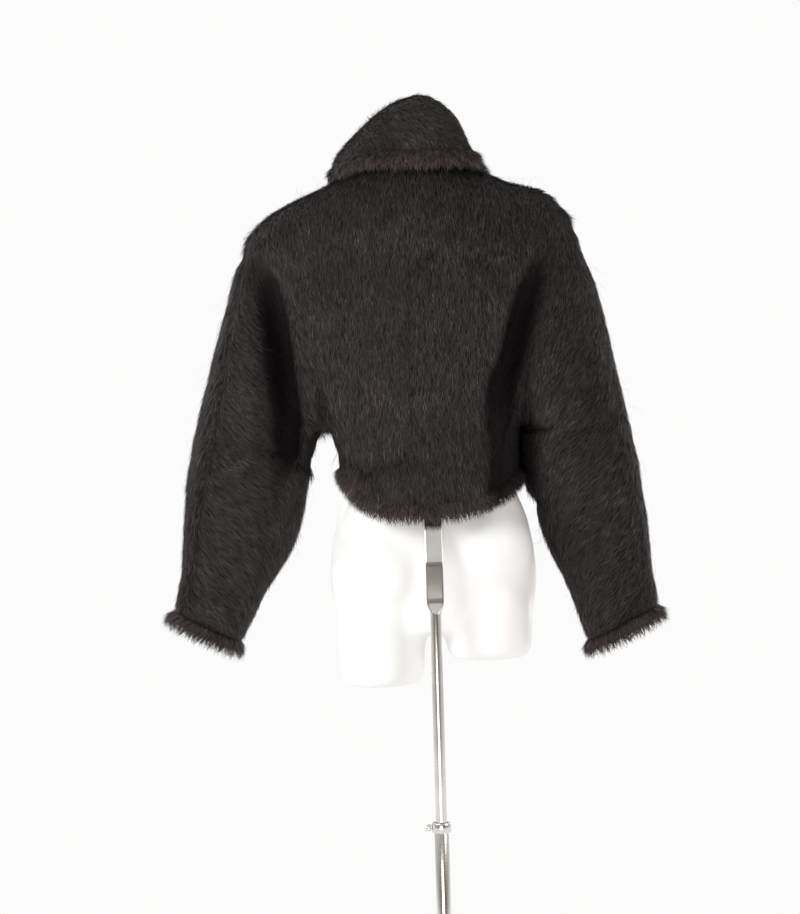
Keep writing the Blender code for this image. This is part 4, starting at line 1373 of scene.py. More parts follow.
        # Creases move the band, and the dark ones paint shade into its hair.
        pressed = [crease.press(flat, facing) for crease in CREASES]
        painted_shade_shares = np.max([dark for _, dark in pressed], axis=0)
        flat = flat + wanted * sum(move for move, _ in pressed)[:, None]
        quads, normals = faced(flat, strip_quads(self.band_rows, len(path), closed), wanted)
        lie = (np.array(naps), np.ones(len(flat)), 1.0 - self.band_shade * painted_shade_shares)
        return ClothGround(flat, quads, normals, *lie)

    def edge_frames(self, places: list, within: list, guesses: list, closed: bool) -> list:
        """Frames along a cloth edge.

        Args:
            places: Points of the edge.
            within: A point of the cloth inside each.
            guesses: A rough outward direction for each.
            closed: Whether the edge is a ring.

        Returns:
            (place, way of the hair, outward normal, way out of the cloth) for each point.
        """
        made = []
        last = len(places) - 1
        for i, place in enumerate(places):
            after = places[(i + 1) % len(places)] if closed else places[min(i + 1, last)]
            before = places[i - 1] if closed else places[max(i - 1, 0)]
            tangent = (after - before).normalized()
            out = place - within[i]
            out = (out - tangent * out.dot(tangent)).normalized()
            normal = tangent.cross(out).normalized()
            made.append((place, out, normal if normal.dot(guesses[i]) > 0 else -normal, out))
        return made

    def hem_path(self, side: Side) -> list:
        """Edge from the centre back along the hem and up the front edge."""
        cut = self.cut
        half = self.band_columns // 2
        places = []
        within = []
        for face, shares in (
            (Face.BACK, [i / half for i in range(half + 1)]),
            (Face.FRONT, [1.0 - i / half for i in range(1, half + 1)]),
        ):
            for s in shares:
                places.append(cut.body_point(side, face, cut.hem_row, s))
                if face > 0:
                    inner = (cut.hem_row - self.back_hem_inset, s)
                else:
                    inner = (cut.hem_row - self.front_hem_inset, mix(s, 1.0, self.front_hem_inset))
                within.append(cut.body_point(side, face, *inner))
        for i in range(1, self.front_edge_steps + 1):
            share = (i / self.front_edge_steps) ** self.front_edge_power
            row = mix(cut.hem_row, self.front_edge_top, share)
            places.append(cut.body_point(side, Face.FRONT, row, 0.0))
            within.append(cut.body_point(side, Face.FRONT, row, self.front_edge_inset))
        return self.edge_frames(places, within, [Vector((p.x, p.y, 0.0)) for p in places], False)

    def cuff_path(self, side: Side) -> list:
        """Edge round one cuff."""
        cut = self.cut
        loop = [(face, step) for face, step, _ in self.sleeve_loop(side)][:-1]
        places = [cut.sleeve_point(side, face, cut.cuff_row, step) for face, step in loop]
        within = [cut.sleeve_point(side, face, cut.cuff_row - self.cuff_inset, step) for face, step in loop]
        middle = sum(places, Vector()) / len(places)
        frames = self.edge_frames(places, within, [p - middle for p in places], True)
        return [self.turned(item, item[2] * self.cuff_flare) for item in frames]

    def collar_path(self) -> list:
        """Edge along the collar's fall."""
        last = self.cut.front_neck_angle
        angles = [mix(-last, last, i / self.band_columns) for i in range(self.band_columns + 1)]
        places = [self.cut.collar_point(angle, 1.0) for angle in angles]
        within = [self.cut.collar_point(angle, 1.0 - self.collar_inset) for angle in angles]
        guesses = [Vector((sin(radians(a)), cos(radians(a)), 0.5)) for a in angles]
        frames = self.edge_frames(places, within, guesses, False)
        droops = [self.collar_droop * rise(abs(a), *self.collar_droop_angles) for a in angles]
        return [self.turned(item, Vector((0.0, 0.0, -droop))) for item, droop in zip(frames, droops)]

    def turned(self, item: tuple, pull: Vector) -> tuple:
        """Turn the hair of an edge frame towards a pull."""
        place, out, normal, straight = item
        way = (out + pull).normalized()
        return place, way, (normal - way * normal.dot(way)).normalized(), straight


@dataclass(frozen=True)
class PileCut:
    """How one stretch of pile grows."""

    density: float
    length: float
    width: float
    lift: float
    lift_spread: float
    fan: float
    seed: int


@dataclass(frozen=True)
class StrandShape:
    """A flat tapering strand, one long: (share along, sideways in widths, rise) past its root."""

    name: str
    bends: tuple

    TAPER = 0.35

    def make(self) -> bpy.types.Object:
        """Build the strand with its share along and across."""
        points = [(-0.5, 0.0, 0.0), (0.5, 0.0, 0.0)]
        for share, side, rise in self.bends[:-1]:
            half = 0.5 * (1.0 - self.TAPER * share)
            points += [(side - half, share, rise), (side + half, share, rise)]
        share, side, rise = self.bends[-1]
        points.append((side, share, rise))
        faces = [(k, k + 1, k + 3, k + 2) for k in range(0, len(points) - 3, 2)]
        faces.append((len(points) - 3, len(points) - 2, len(points) - 1))
        mesh = bpy.data.meshes.new(self.name)
        mesh.from_pydata(points, [], faces)
        sides = [float(k % 2) for k in range(len(points))]
        for mark, values in (("along", [point[1] for point in points]), ("across", sides)):
            mesh.attributes.new(mark, "FLOAT", "POINT").data.foreach_set("value", values)
        mesh.shade_smooth()
        return add_object(self.name, mesh)


def curled(name: str, swing: float, turns: float, lift: float, steps: int = 8) -> StrandShape:
    """A long stray hair that wanders in soft waves.

    Args:
        name: Name of the shape.
        swing: Sideways swing in widths.
        turns: Half waves along its length.
        lift: How far it stands off, in lengths.
        steps: Number of straight pieces.

    Returns:
        The shape.
    """
    shares = [k / steps for k in range(1, steps + 1)]
    bends = tuple((t, swing * sin(pi * turns * t) * t, lift * sin(0.7 * pi * t)) for t in shares)
    return StrandShape(name, bends)


STRANDS = (
    StrandShape("strand_even", ((0.52, 0.0, 0.06), (1.0, 0.0, 0.02))),
    StrandShape("strand_left", ((0.52, -1.2, 0.07), (1.0, -4.6, 0.04))),
    StrandShape("strand_right", ((0.52, 1.2, 0.06), (1.0, 4.6, 0.02))),
    StrandShape("strand_wave", ((0.52, 2.0, 0.03), (1.0, -1.6, 0.08))),
    StrandShape("strand_low", ((0.52, -1.6, 0.02), (1.0, 1.4, -0.04))),
)
STRAYS = (
    curled("stray_wave", 26.0, 1.6, 0.10),
    curled("stray_curl", -34.0, 2.3, 0.16),
    curled("stray_arc", 40.0, 0.8, 0.05),
)


class PileTree(Graph):
    """Geometry Nodes tree that plants brushed strands on a turf."""

    SIZES = ("Density", "Length", "Width", "Lift", "Lift Spread", "Fan")
    LENGTHS = (0.55, 1.15)
    WIDTHS = (0.6, 1.3)
    ROLL = 0.7
    SWING_SCALE = 95.0
    SWING = 3.0
    TONES = (0.0, 0.66)
    TONE_PATCHES = ((150.0, 1.0, 0.45), (48.0, 1.0, 0.34), (14.0, 2.0, 0.30))
    TONE_DROP = 0.34

    def __init__(self, name: str, shapes: Sequence[StrandShape]) -> None:
        """Build the tree for a set of strand shapes."""
        super().__init__(bpy.data.node_groups.new(name, "GeometryNodeTree"))
        self.strands = [shape.make() for shape in shapes]
        self.keys: dict = {}
        self.add_socket("Turf", "NodeSocketGeometry")
        for size in self.SIZES:
            self.add_socket(size, "NodeSocketFloat")
        self.add_socket("Seed", "NodeSocketInt")
        self.add_socket("Material", "NodeSocketMaterial")
        self.tree.interface.new_socket(name="Pile", in_out="OUTPUT", socket_type="NodeSocketGeometry")
        self.build()

    def add_socket(self, name: str, kind: str) -> None:
        """Give the tree a named input."""
        made = self.tree.interface.new_socket(name=name, in_out="INPUT", socket_type=kind)
        self.keys[name] = made.identifier

    def chance(self, low: Any, high: Any, draw: Draw) -> Wire:
        """A random number for each strand."""
        inputs = {2: low, 3: high, "Seed": self.seed + float(draw)}
        return self.out(self.node("FunctionNodeRandomValue", {"data_type": "FLOAT"}, inputs), 1)

    def named(self, name: str, kind: str) -> Wire:
        """Read a named attribute."""
        return self.out(self.node("GeometryNodeInputNamedAttribute", {"data_type": kind}, {"Name": name}))

    def store(self, geometry: Wire, name: str, kind: str, domain: str, value: Wire) -> Wire:
        """Store a named attribute on a geometry."""
        settings = {"data_type": kind, "domain": domain}
        inputs = {"Geometry": geometry, "Name": name, "Value": value}
        return self.out(self.node("GeometryNodeStoreNamedAttribute", settings, inputs))

    def build(self) -> None:
        """Lay out the tree: plant, turn, size, colour, realize and paint."""
        source = self.node("NodeGroupInput")
        given = {socket.name: Wire(self, socket) for socket in source.outputs if socket.name}
        self.seed = given["Seed"]
        plant = self.node(
            "GeometryNodeDistributePointsOnFaces",
            {"distribute_method": "RANDOM"},
            {"Mesh": given["Turf"], "Density": given["Density"], "Seed": self.seed},
        )
        axes = self.node(
            "FunctionNodeAxesToRotation",
            {"primary_axis": "Y", "secondary_axis": "Z"},
            {0: self.named("nap", "FLOAT_VECTOR"), 1: self.out(plant, "Normal")},
        )
        place = self.out(self.node("GeometryNodeInputPosition"))
        local = self.node("FunctionNodeEulerToRotation", {}, {0: self.turn(given, place)})
        turns = {0: self.out(axes), 1: self.out(local)}
        aim = self.node("FunctionNodeRotateRotation", {"rotation_space": "LOCAL"}, turns)
        long = given["Length"] * self.chance(*self.LENGTHS, Draw.LENGTH) * self.named("fullness", "FLOAT")
        wide = given["Width"] * self.chance(*self.WIDTHS, Draw.WIDTH)
        grow = self.node(
            "GeometryNodeInstanceOnPoints",
            {},
            {
                "Points": self.out(plant, "Points"),
                "Instance": self.shapes(),
                "Pick Instance": True,
                "Instance Index": self.pick(),
                "Rotation": self.out(aim),
                "Scale": self.vector(wide, long, long),
            },
        )
        toned = self.store(self.out(grow), "tone", "FLOAT", "INSTANCE", self.tone(place))
        real = self.out(self.node("GeometryNodeRealizeInstances", {}, {0: toned}))
        u = self.named("tone", "FLOAT") * 0.96 + self.named("across", "FLOAT") * 0.015 + 0.01
        spot = self.vector(u, self.named("along", "FLOAT") * 0.98 + 0.01, 0.0)
        mapped = self.store(real, BAKE_MAP, "FLOAT2", "CORNER", spot)
        finish = {"Geometry": mapped, "Material": given["Material"]}
        painted = self.node("GeometryNodeSetMaterial", {}, finish)
        self.node("NodeGroupOutput", {}, {0: self.out(painted)})

    def turn(self, given: dict, place: Wire) -> Wire:
        """Lift, roll and fan of each strand; neighbours swing together and gather in locks."""
        spread = given["Lift Spread"]
        fan = given["Fan"]
        lift = self.chance(given["Lift"] - spread, given["Lift"] + spread, Draw.LIFT)
        swing = (self.noise(place, self.SWING_SCALE, 1.0) - 0.5) * fan * self.SWING
        roll = self.chance(-self.ROLL, self.ROLL, Draw.ROLL)
        return self.vector(lift, roll, self.chance(-fan, fan, Draw.FAN) + swing)

    def shapes(self) -> Wire:
        """The strand shapes as instances."""
        join = self.node("GeometryNodeJoinGeometry")
        for strand in self.strands:
            info = self.node("GeometryNodeObjectInfo", {}, {"Object": strand, "As Instance": True})
            self.feed(join.inputs[0], self.out(info, "Geometry"))
        return self.out(join)

    def pick(self) -> Wire:
        """Which shape each strand has."""
        inputs = {4: 0, 5: len(self.strands) - 1, "Seed": self.seed + float(Draw.SHAPE)}
        return self.out(self.node("FunctionNodeRandomValue", {"data_type": "INT"}, inputs), 2)

    def tone(self, place: Wire) -> Wire:
        """Tone of each strand: chance, small locks and wide soft patches, darkened by the turf's painted
        shade.
        """
        mixed = self.chance(*self.TONES, Draw.TONE)
        for scale, detail, share in self.TONE_PATCHES:
            mixed = mixed + self.noise(place, scale, detail) * share
        return (mixed - self.TONE_DROP).clamped() * self.named("shade", "FLOAT")

    def grow(
        self,
        turf: bpy.types.Object,
        name: str,
        pile: PileCut,
        material: bpy.types.Material,
    ) -> bpy.types.Object:
        """Grow pile on a turf and turn it into a plain mesh.

        Args:
            turf: The surface with its nap and fullness; it is used up.
            name: Name of the pile's piece.
            pile: How the pile grows.
            material: Finish of the strands.

        Returns:
            The pile's object.
        """
        modifier = turf.modifiers.new("pile", "NODES")
        modifier.node_group = self.tree
        turns = [radians(angle) for angle in (pile.lift, pile.lift_spread, pile.fan)]
        for size, value in zip(self.SIZES, (pile.density, pile.length, pile.width, *turns)):
            modifier[self.keys[size]] = value
        modifier[self.keys["Seed"]] = pile.seed
        modifier[self.keys["Material"]] = material
        made = baked_down(turf, name)
        for spare in ("nap", "fullness", "shade", "tone", "along", "across"):
            found = made.data.attributes.get(spare)
            if found:
                made.data.attributes.remove(found)
        return made

    def clear(self) -> None:
        """Remove the strand shapes and the tree."""
        for strand in self.strands:
            bpy.data.objects.remove(strand, do_unlink=True)
        bpy.data.node_groups.remove(self.tree)


@dataclass(frozen=True)
class FormRow:
    """One level section of the torso form."""

    z: float
    half_width: float
    back: float
    front: float


@dataclass(frozen=True)
class Mound:
    """A rounded swelling of the form."""

    x: float
    y: float
    z: float
    radius_x: float
    radius_y: float
    radius_z: float


@dataclass
class TorsoForm:
    """White limbless torso with two short thighs."""

    rows: tuple = (
        FormRow(0.752, 0.139, 0.082, 0.058),
        FormRow(0.800, 0.151, 0.094, 0.075),
        FormRow(0.840, 0.155, 0.097, 0.085),
        FormRow(0.920, 0.143, 0.098, 0.090),
        FormRow(0.985, 0.117, 0.088, 0.088),
        FormRow(1.060, 0.108, 0.080, 0.088),
        FormRow(1.150, 0.118, 0.092, 0.105),
        FormRow(1.220, 0.132, 0.102, 0.118),
        FormRow(1.290, 0.146, 0.106, 0.098),
        FormRow(1.345, 0.160, 0.092, 0.072),
        FormRow(1.378, 0.170, 0.066, 0.050),
        FormRow(1.3960, 0.164, 0.036, 0.030),
        FormRow(1.4070, 0.142, 0.020, 0.018),
        FormRow(1.4170, 0.112, 0.022, 0.020),
        FormRow(1.4300, 0.077, 0.034, 0.032),
        FormRow(1.445, 0.056, 0.042, 0.040),
        FormRow(1.475, 0.047, 0.043, 0.041),
    )
    mounds: tuple = (
        Mound(0.073, 0.036, 0.842, 0.080, 0.072, 0.078),
        Mound(-0.071, 0.034, 0.872, 0.079, 0.072, 0.076),
    )
    roundness: float = 2.2
    segments: int = 64
    thigh_x: float = 0.080
    thigh_y: float = 0.018
    thigh_top_z: float = 0.815
    end_z: tuple = (0.677, 0.713)
    thigh_shares: tuple = (0.0, 0.2, 0.35, 0.6, 0.85, 0.95, 0.985, 1.0)
    thigh_widths: tuple = (0.060, 0.066)
    thigh_widest: float = 0.35
    thigh_taper: float = 0.003
    thigh_depth: float = 0.012
    end_round: float = 0.010
    end_share: tuple = (0.93, 0.07)
    ring_step: float = 0.012
    mound_segments: int = 40
    mound_rings: int = 24
    voxel: float = 0.0068
    smoothing: int = 16
    smoothing_share: float = 0.5

    def torso_rings(self) -> list:
        """Rings of the torso, level by level."""
        levels = []
        for k, (a, b) in enumerate(zip(self.rows, self.rows[1:])):
            steps = max(1, round((b.z - a.z) / self.ring_step))
            levels += [(k + i / steps, mix(a.z, b.z, i / steps)) for i in range(steps)]
        levels.append((len(self.rows) - 1.0, self.rows[-1].z))
        rings = []
        for station, z in levels:
            sizes = [column(self.rows, name, station) for name in ("half_width", "back", "front")]
            rings.append(oval(Vector((0.0, 0.0, z)), sizes, 2.0 / self.roundness, self.segments))
        return rings

    def thigh_rings(self, side: Side) -> list:
        """Rings of one thigh, rounded over at its end."""
        end = side.of(self.end_z)
        rings = []
        for share in self.thigh_shares:
            swell = sin(0.5 * pi * min(1.0, share / self.thigh_widest))
            width = mix(*self.thigh_widths, swell)
            width -= self.thigh_taper * rise(share, self.thigh_widest, 1.0 - self.thigh_widest)
            round_off = self.end_round * rise(share, *self.end_share)
            middle = Vector((side * self.thigh_x, self.thigh_y, mix(self.thigh_top_z, end, share)))
            depth = width + self.thigh_depth - round_off
            rings.append(oval(middle, (width - round_off, depth, depth), 1.0, self.segments))
        return rings[::-1]

    def build(self, material: bpy.types.Material) -> bpy.types.Object:
        """Join torso, thighs and swellings into one smooth skin.

        Args:
            material: Finish of the form.

        Returns:
            The form's object.
        """
        bm = bmesh.new()
        loft(bm, self.torso_rings())
        for side in Side:
            loft(bm, self.thigh_rings(side))
        for mound in self.mounds:
            size = Matrix.Diagonal((mound.radius_x, mound.radius_y, mound.radius_z, 1.0))
            place = Matrix.Translation((mound.x, mound.y, mound.z)) @ size
            counts = {"u_segments": self.mound_segments, "v_segments": self.mound_rings}
            bmesh.ops.create_uvsphere(bm, radius=1.0, matrix=place, **counts)
        mesh = bpy.data.meshes.new("torso_mould")
        bm.to_mesh(mesh)
        bm.free()
        mould = add_object("torso_mould", mesh)
        skin = mould.modifiers.new("skin", "REMESH")
        skin.mode = "VOXEL"
        skin.voxel_size = self.voxel
        soft = mould.modifiers.new("soft", "SMOOTH")
        soft.factor = self.smoothing_share
        soft.iterations = self.smoothing
        made = baked_down(mould, "torso_form")
        made.data.materials.clear()
        made.data.materials.append(material)
        made.data.shade_smooth()
        return made


@dataclass(frozen=True)
class RodRow:
    """One section of the rod and its flattened strap."""

    z: float
    y: float
    half_width: float
    half_depth: float


@dataclass
class Stand:
    """Chromed rod, tube, clamp and base plate."""

    pole_y: float = 0.124
    rod_radius: float = 0.008
    tube_radius: float = 0.0105
    tube_clearance: float = 0.0003
    tube_top_z: float = 0.485
    base_radius: float = 0.200
    base_thickness: float = 0.006
    ring_bottom_z: float = 0.4735
    ring_top_z: float = 0.4875
    ring_radius: float = 0.0138
    screw_radius: float = 0.0048
    screw_length: float = 0.009
    segments: int = 48
    bevel: float = 0.0009
    strap_half_width: float = 0.0125
    strap_half_depth: float = 0.0022
    flat_span: float = 0.009
    flat_power: float = 0.35
    bend_length: float = 0.06
    bend_steps: int = 8
    straight_steps: int = 2
    screw_rings: tuple = ((0.0, 0.82), (0.12, 1.0), (0.88, 1.0), (1.0, 0.82))
    knurl: float = 0.94
    base_bevel: float = 0.0014
    base_segments: int = 96
    crisp_angle: float = 38.0

    def rod_rows(self) -> tuple:
        """Sections of the rod from the top of its strap to its end."""
        radius = self.rod_radius
        wide, deep = self.strap_half_width, self.strap_half_depth
        return (
            RodRow(1.000, 0.0890, wide, deep),
            RodRow(0.985, 0.0910, wide, deep),
            RodRow(0.920, 0.1076, wide, deep),
            RodRow(0.872, 0.1215, wide, deep),
            RodRow(0.862, 0.1236, wide, deep),
            RodRow(0.805, self.pole_y, wide, 0.0028),
            RodRow(0.785, self.pole_y, radius, radius),
            RodRow(0.250, self.pole_y, radius, radius),
        )

    def rod_ring(self, row: RodRow) -> list:
        """Outline of a rod section, boxy where it is flat."""
        flat = clamp((row.half_width - row.half_depth) / self.flat_span)
        sizes = (row.half_width, row.half_depth, row.half_depth)
        return oval(Vector((0.0, row.y, row.z)), sizes, mix(1.0, self.flat_power, flat), self.segments)

    def build_rod(self, material: bpy.types.Material) -> bpy.types.Object:
        """Loft the rod with its strap."""
        rows = self.rod_rows()
        sections = [rows[0]]
        for a, b in zip(rows, rows[1:]):
            steps = self.bend_steps if a.z - b.z < self.bend_length else self.straight_steps
            for i in range(1, steps + 1):
                t = i / steps
                bent = ease(t) if a.half_width != b.half_width else t
                width = mix(a.half_width, b.half_width, bent)
                depth = mix(a.half_depth, b.half_depth, bent)
                sections.append(RodRow(mix(a.z, b.z, t), mix(a.y, b.y, t), width, depth))
        return self.lofted("chrome_rod", [self.rod_ring(row) for row in sections], material)

    def lofted(self, name: str, rings: list, material: bpy.types.Material) -> bpy.types.Object:
        """Build a piece as a closed body through rings."""
        bm = bmesh.new()
        loft(bm, rings)
        return self.finished(name, bm, material)

    def finished(self, name: str, bm: bmesh.types.BMesh, material: bpy.types.Material) -> bpy.types.Object:
        """Turn a mesh into a smooth-shaded piece with crisp edges."""
        bmesh.ops.recalc_face_normals(bm, faces=bm.faces)
        mesh = bpy.data.meshes.new(name)
        bm.to_mesh(mesh)
        bm.free()
        mesh.shade_smooth()
        mesh.set_sharp_from_angle(angle=radians(self.crisp_angle))
        return add_object(name, mesh, material)

    def turned(self, name: str, profile: Sequence[tuple], material: bpy.types.Material) -> bpy.types.Object:
        """Turn a closed profile of (radius, height) points about the pole.

        Args:
            name: Name of the piece.
            profile: Points of the profile.
            material: Its finish.

        Returns:
            The piece.
        """
        bm = bmesh.new()
        loops = []
        for i in range(self.segments):
            turn = 2.0 * pi * i / self.segments
            loop = [(r * cos(turn), self.pole_y + r * sin(turn), z) for r, z in profile]
            loops.append([bm.verts.new(p) for p in loop])
        for i, loop in enumerate(loops):
            after = loops[(i + 1) % self.segments]
            for k in range(len(profile)):
                bm.faces.new((loop[k - 1], loop[k], after[k], after[k - 1]))
        return self.finished(name, bm, material)

    def rounded(self, inner: float, outer: float, low: float, high: float) -> tuple:
        """Profile of a ring with small rounded outer edges."""
        b = min(self.bevel, 0.3 * (outer - inner))
        return (
            (inner, low),
            (outer - b, low),
            (outer - 0.3 * b, low + 0.3 * b),
            (outer, low + b),
            (outer, high - b),
            (outer - 0.3 * b, high - 0.3 * b),
            (outer - b, high),
            (inner, high),
        )

    def build_fixed(self, material: bpy.types.Material) -> dict:
        """Build tube, clamp ring, knurled screw and base plate.

        Args:
            material: Finish of them all.

        Returns:
            Each piece by the name of its node.
        """
        bore = self.rod_radius + self.tube_clearance
        tube = self.rounded(bore, self.tube_radius, self.base_thickness + SEAM_GAP, self.tube_top_z)
        hold = self.tube_radius + SEAM_GAP
        ring = self.rounded(hold, self.ring_radius, self.ring_bottom_z, self.ring_top_z)
        return {
            "stand_tube": self.turned("chrome_tube", tube, material),
            "clamp_ring": self.turned("chrome_clamp", ring, material),
            "clamp_screw": self.build_screw(material),
            "base_plate": self.build_plate(material),
        }

    def build_screw(self, material: bpy.types.Material) -> bpy.types.Object:
        """Knurled screw head beside the clamp."""
        start = self.ring_radius + SEAM_GAP
        level = 0.5 * (self.ring_bottom_z + self.ring_top_z)
        rings = []
        for share, shrink in self.screw_rings:
            ring = []
            for i in range(self.segments):
                turn = 2.0 * pi * i / self.segments
                radius = self.screw_radius * shrink * (1.0 if i % 2 else self.knurl)
                x = start + share * self.screw_length
                ring.append((x, self.pole_y + radius * cos(turn), level + radius * sin(turn)))
            rings.append(ring)
        return self.lofted("chrome_screw", rings, material)

    def build_plate(self, material: bpy.types.Material) -> bpy.types.Object:
        """Round base plate with an eased edge."""
        b = self.base_bevel
        wide, high = self.base_radius, self.base_thickness
        profile = (
            (wide - 0.6 * b, 0.0),
            (wide, b),
            (wide, high - b),
            (wide - 0.3 * b, high - 0.3 * b),
            (wide - b, high),
        )
        sides = self.base_segments
        rings = [oval(Vector((0.0, 0.0, z)), (r, r, r), 1.0, sides) for r, z in profile]
        return self.lofted("chrome_base", rings, material)


@dataclass(frozen=True)
class Lamp:
    """A large soft lamp: where it hangs, what it is aimed at, watts, width and colour."""

    name: str
    place: tuple
    at: tuple
    power: float
    size: float
    rgb: tuple

    def hang(self) -> None:
        """Hang the lamp in the scene."""
        lamp = bpy.data.lights.new(self.name, "AREA")
        lamp.energy = self.power
        lamp.size = self.size
        lamp.color = self.rgb
        made = bpy.data.objects.new(self.name, lamp)
        made.location = self.place
        aim = Vector(self.at) - Vector(self.place)
        made.rotation_euler = aim.to_track_quat("-Z", "Y").to_euler()
        bpy.context.scene.collection.objects.link(made)


LAMPS = (
    Lamp("key_soft", (2.5, 1.9, 2.1), (0.0, 0.0, 1.15), 77.0, 1.4, (1.0, 0.99, 0.975)),
    Lamp("fill_soft", (-2.6, 1.6, 1.6), (0.0, 0.0, 1.0), 20.0, 1.6, (1.0, 0.920, 0.885)),
    Lamp("low_soft", (0.15, 2.0, 0.10), (0.0, 0.0, 0.80), 13.0, 1.2, (1.0, 0.985, 0.97)),
    Lamp("rim_soft", (-1.9, -1.7, 1.3), (0.0, 0.0, 0.9), 34.0, 1.6, (1.0, 0.955, 0.93)),
    Lamp("rear_soft", (1.6, -2.2, 2.2), (0.0, 0.0, 1.0), 26.0, 1.8, (1.0, 1.0, 1.0)),
)


@dataclass
class Studio:
    """Pale floor, soft light and the camera behind the jacket."""

    camera_x: float = 0.045
    camera_z: float = 1.0145
    distance: float = 3.0
    frame_height: float = 1.371
    roll: float = 1.597
    sensor_width: float = 36.0
    floor_radius: float = 4.0
    floor_segments: int = 96
    viewer_side: tuple = (0.24, 0.20, 0.17)
    viewer_stops: tuple = (0.28, 0.86)
    viewer_narrowing: float = 4.2
    ambient: float = 0.70

    def build(self, floor: bpy.types.Material) -> None:
        """Set the floor, the light and the camera."""
        self.lay_floor(floor)
        self.light_world()
        for lamp in LAMPS:
            lamp.hang()
        self.aim_camera()
        bpy.context.scene.view_settings.view_transform = "Standard"

    def lay_floor(self, material: bpy.types.Material) -> None:
        """Round floor under the stand."""
        bm = bmesh.new()
        bmesh.ops.create_circle(bm, cap_ends=True, segments=self.floor_segments, radius=self.floor_radius)
        mesh = bpy.data.meshes.new("studio_floor")
        bm.to_mesh(mesh)
        bm.free()
        add_object("studio_floor", mesh, material)

    def light_world(self) -> None:
        """White surround whose reflections darken towards the viewer's side."""
        world = bpy.data.worlds.new("white studio")
        bpy.context.scene.world = world
        world.use_nodes = True
        sky = Graph(world.node_tree)
        white = {"Color": (*SURROUND, 1.0), "Strength": SURROUND_STRENGTH}
        seen = sky.out(sky.node("ShaderNodeBackground", {}, white))
        _, ahead, up = sky.split(sky.out(sky.node("ShaderNodeTexCoord"), "Generated"))
        dark = (ahead - up.math("ABSOLUTE", up) * self.viewer_narrowing) * 0.5 + 0.5
        stops = tuple(zip(self.viewer_stops, (SURROUND, self.viewer_side)))
        around = {"Color": sky.ramp(dark, stops), "Strength": self.ambient}
        lit = sky.out(sky.node("ShaderNodeBackground", {}, around))
        straight = sky.out(sky.node("ShaderNodeLightPath"), "Is Camera Ray")
        blend = sky.node("ShaderNodeMixShader", {}, {0: straight, 1: lit, 2: seen})
        sky.feed(world.node_tree.nodes["World Output"].inputs["Surface"], sky.out(blend))

    def aim_camera(self) -> None:
        """Stand straight behind the jacket with the picture's small roll."""
        lens = bpy.data.cameras.new("studio_camera")
        lens.sensor_width = self.sensor_width
        lens.lens = self.sensor_width * self.distance / self.frame_height
        made = bpy.data.objects.new("studio_camera", lens)
        c, s = cos(radians(self.roll)), sin(radians(self.roll))
        right = Vector((-c, 0.0, -s))
        up = Vector((-s, 0.0, c))
        back = Vector((0.0, 1.0, 0.0))
        turn = Matrix((right, up, back)).transposed().to_4x4()
        made.matrix_world = Matrix.Translation((self.camera_x, self.distance, self.camera_z)) @ turn
        bpy.context.scene.collection.objects.link(made)
        bpy.context.scene.camera = made


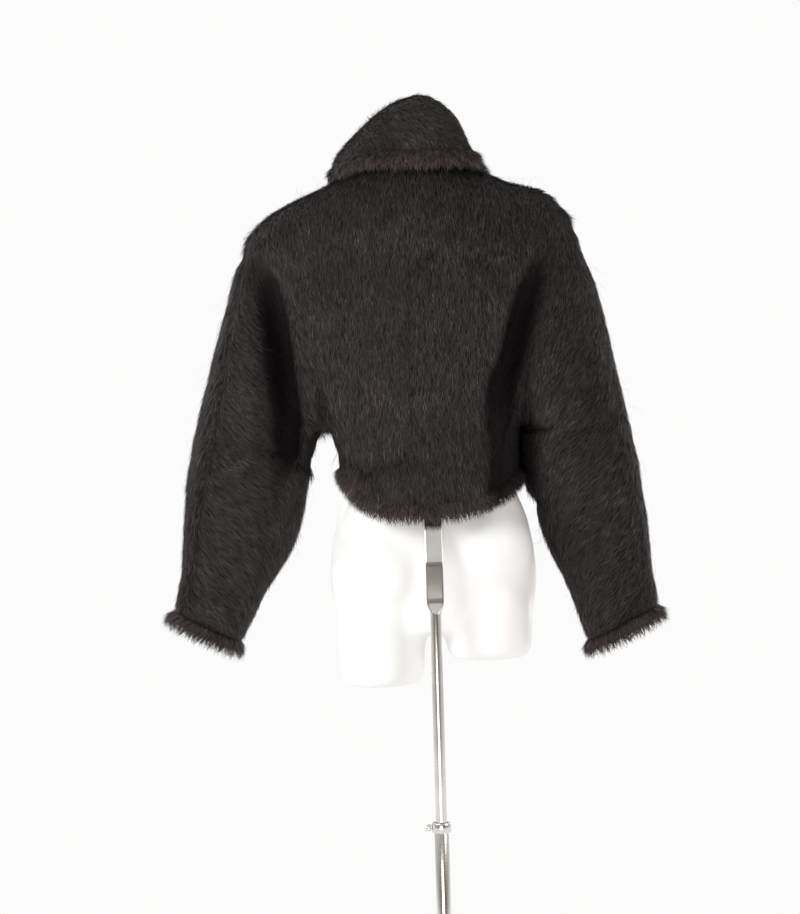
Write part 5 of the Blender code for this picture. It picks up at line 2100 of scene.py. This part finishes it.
@dataclass
class Wardrobe:
    """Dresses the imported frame: cloth, pile, form and stand, piece by piece."""

    bolero: Bolero = field(default_factory=Bolero)
    form: TorsoForm = field(default_factory=TorsoForm)
    stand: Stand = field(default_factory=Stand)

    PANEL_PILE = {
        "back_left": PileCut(310000.0, 0.0185, 0.00066, 7.0, 6.0, 10.0, 21),
        "back_right": PileCut(255000.0, 0.0185, 0.00072, 7.0, 6.0, 10.0, 22),
        "front_left": PileCut(190000.0, 0.024, 0.00095, 7.0, 6.0, 10.0, 23),
        "front_right": PileCut(190000.0, 0.024, 0.00095, 7.0, 6.0, 10.0, 24),
    }
    FLAT_SIZE = {
        "back_left": (0.46, 0.74),
        "back_right": (0.46, 0.74),
        "front_left": (0.47, 0.72),
        "front_right": (0.40, 0.72),
    }
    COLLAR_FLAT = (0.60, 0.17)
    COLLAR_PILE = PileCut(420000.0, 0.019, 0.00062, 8.0, 7.0, 12.0, 25)
    BAND_PILE = PileCut(560000.0, 0.0175, 0.00090, 13.0, 16.0, 17.0, 26)
    STRAY_PILE = PileCut(900.0, 0.042, 0.00030, 20.0, 18.0, 24.0, 41)

    def settle(self, made: bpy.types.Object, body: str, slot: Slot, *nodes: str) -> bpy.types.Object:
        """Tie a piece to its body and hide the nodes it stands for."""
        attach(made, body)
        if nodes:
            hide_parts(*nodes)
        made.data.calc_loop_triangles()
        LOG.info("%s: %d triangles on %s", made.name, len(made.data.loop_triangles), body)
        return made

    def dress_panels(
        self,
        tree: PileTree,
        stray: PileTree,
        ground: bpy.types.Material,
        hair: bpy.types.Material,
    ) -> None:
        """Args:
            tree: Tree of the brushed pile.
            stray: Tree of the long stray hairs.
            ground: Finish of the cloth ground.
            hair: Finish of the strands.
        """
        for name, cloth in self.bolero.build_ground().items():
            shell = cloth.shell(name + "_cloth", self.bolero.ground_wall, ground)
            self.settle(shell, UPPER_BODY, Slot.CLOTH, name)
            pile = tree.grow(cloth.turf(name + "_turf"), name + "_pile", self.PANEL_PILE[name], hair)
            self.settle(pile, UPPER_BODY, Slot.CLOTH)
            loose = stray.grow(cloth.turf(name + "_stray_turf"), name + "_stray_hairs", self.STRAY_PILE, hair)
            self.settle(loose, UPPER_BODY, Slot.CLOTH)
            area = cloth.area()
            LOG.info("%s: %.4f square metres", name, area)

    def dress_collar(self, tree: PileTree, ground: bpy.types.Material, hair: bpy.types.Material) -> None:
        """Build the folded collar with its pile."""
        cloth = self.bolero.collar_ground()
        shell = cloth.shell("collar_cloth", self.bolero.ground_wall, ground)
        self.settle(shell, UPPER_BODY, Slot.CLOTH, "collar")
        pile = tree.grow(cloth.turf("collar_turf"), "collar_pile", self.COLLAR_PILE, hair)
        self.settle(pile, UPPER_BODY, Slot.CLOTH)
        area = cloth.area()
        LOG.info("collar: %.4f square metres", area)

    def dress_bands(self, tree: PileTree, ground: bpy.types.Material, hair: bpy.types.Material) -> None:
        """Build the shaggy bands of hem, fronts, cuffs and collar."""
        bolero = self.bolero
        paths = {
            "hem_band_left": (bolero.hem_path(Side.LEFT), False),
            "hem_band_right": (bolero.hem_path(Side.RIGHT), False),
            "cuff_band_left": (bolero.cuff_path(Side.LEFT), True),
            "cuff_band_right": (bolero.cuff_path(Side.RIGHT), True),
            "collar_band": (bolero.collar_path(), False),
        }
        for number, (name, (path, closed)) in enumerate(paths.items()):
            cloth = bolero.edge_ground(path, closed)
            shell = cloth.shell(name + "_strip", bolero.ground_wall, ground)
            self.settle(shell, UPPER_BODY, Slot.EDGE, name)
            own = replace(self.BAND_PILE, seed=self.BAND_PILE.seed + number)
            pile = tree.grow(cloth.turf(name + "_turf"), name + "_tufts", own, hair)
            self.settle(pile, UPPER_BODY, Slot.EDGE)
            area = cloth.area()

    def dress_stand(self) -> None:
        """Build the torso form and the chromed stand."""
        form = self.form.build(Lacquer().make())
        self.settle(form, UPPER_BODY, Slot.LACQUER, "dress_form")
        chrome = Chrome().make()
        self.settle(self.stand.build_rod(chrome), UPPER_BODY, Slot.CHROME, "form_rod")
        for node, made in self.stand.build_fixed(chrome).items():
            self.settle(made, STAND_BODY, Slot.CHROME, node)

    def dress(self) -> None:
        """Build every piece."""
        ground = MohairGround().make()
        hair = MohairStrand().make()
        brushed = PileTree("brushed pile", STRANDS)
        stray = PileTree("stray hairs", STRAYS)
        self.dress_panels(brushed, stray, ground, hair)
        self.dress_collar(brushed, ground, hair)
        self.dress_bands(brushed, ground, EDGE_STRAND.make())
        brushed.clear()
        stray.clear()
        self.dress_stand()


def main() -> None:
    """Build the studio and the dressed part."""
    logging.basicConfig(level=logging.INFO, format="%(name)s %(message)s")
    Studio().build(PaleFloor().make())
    Wardrobe().dress()


if __name__ == "__main__":
    main()
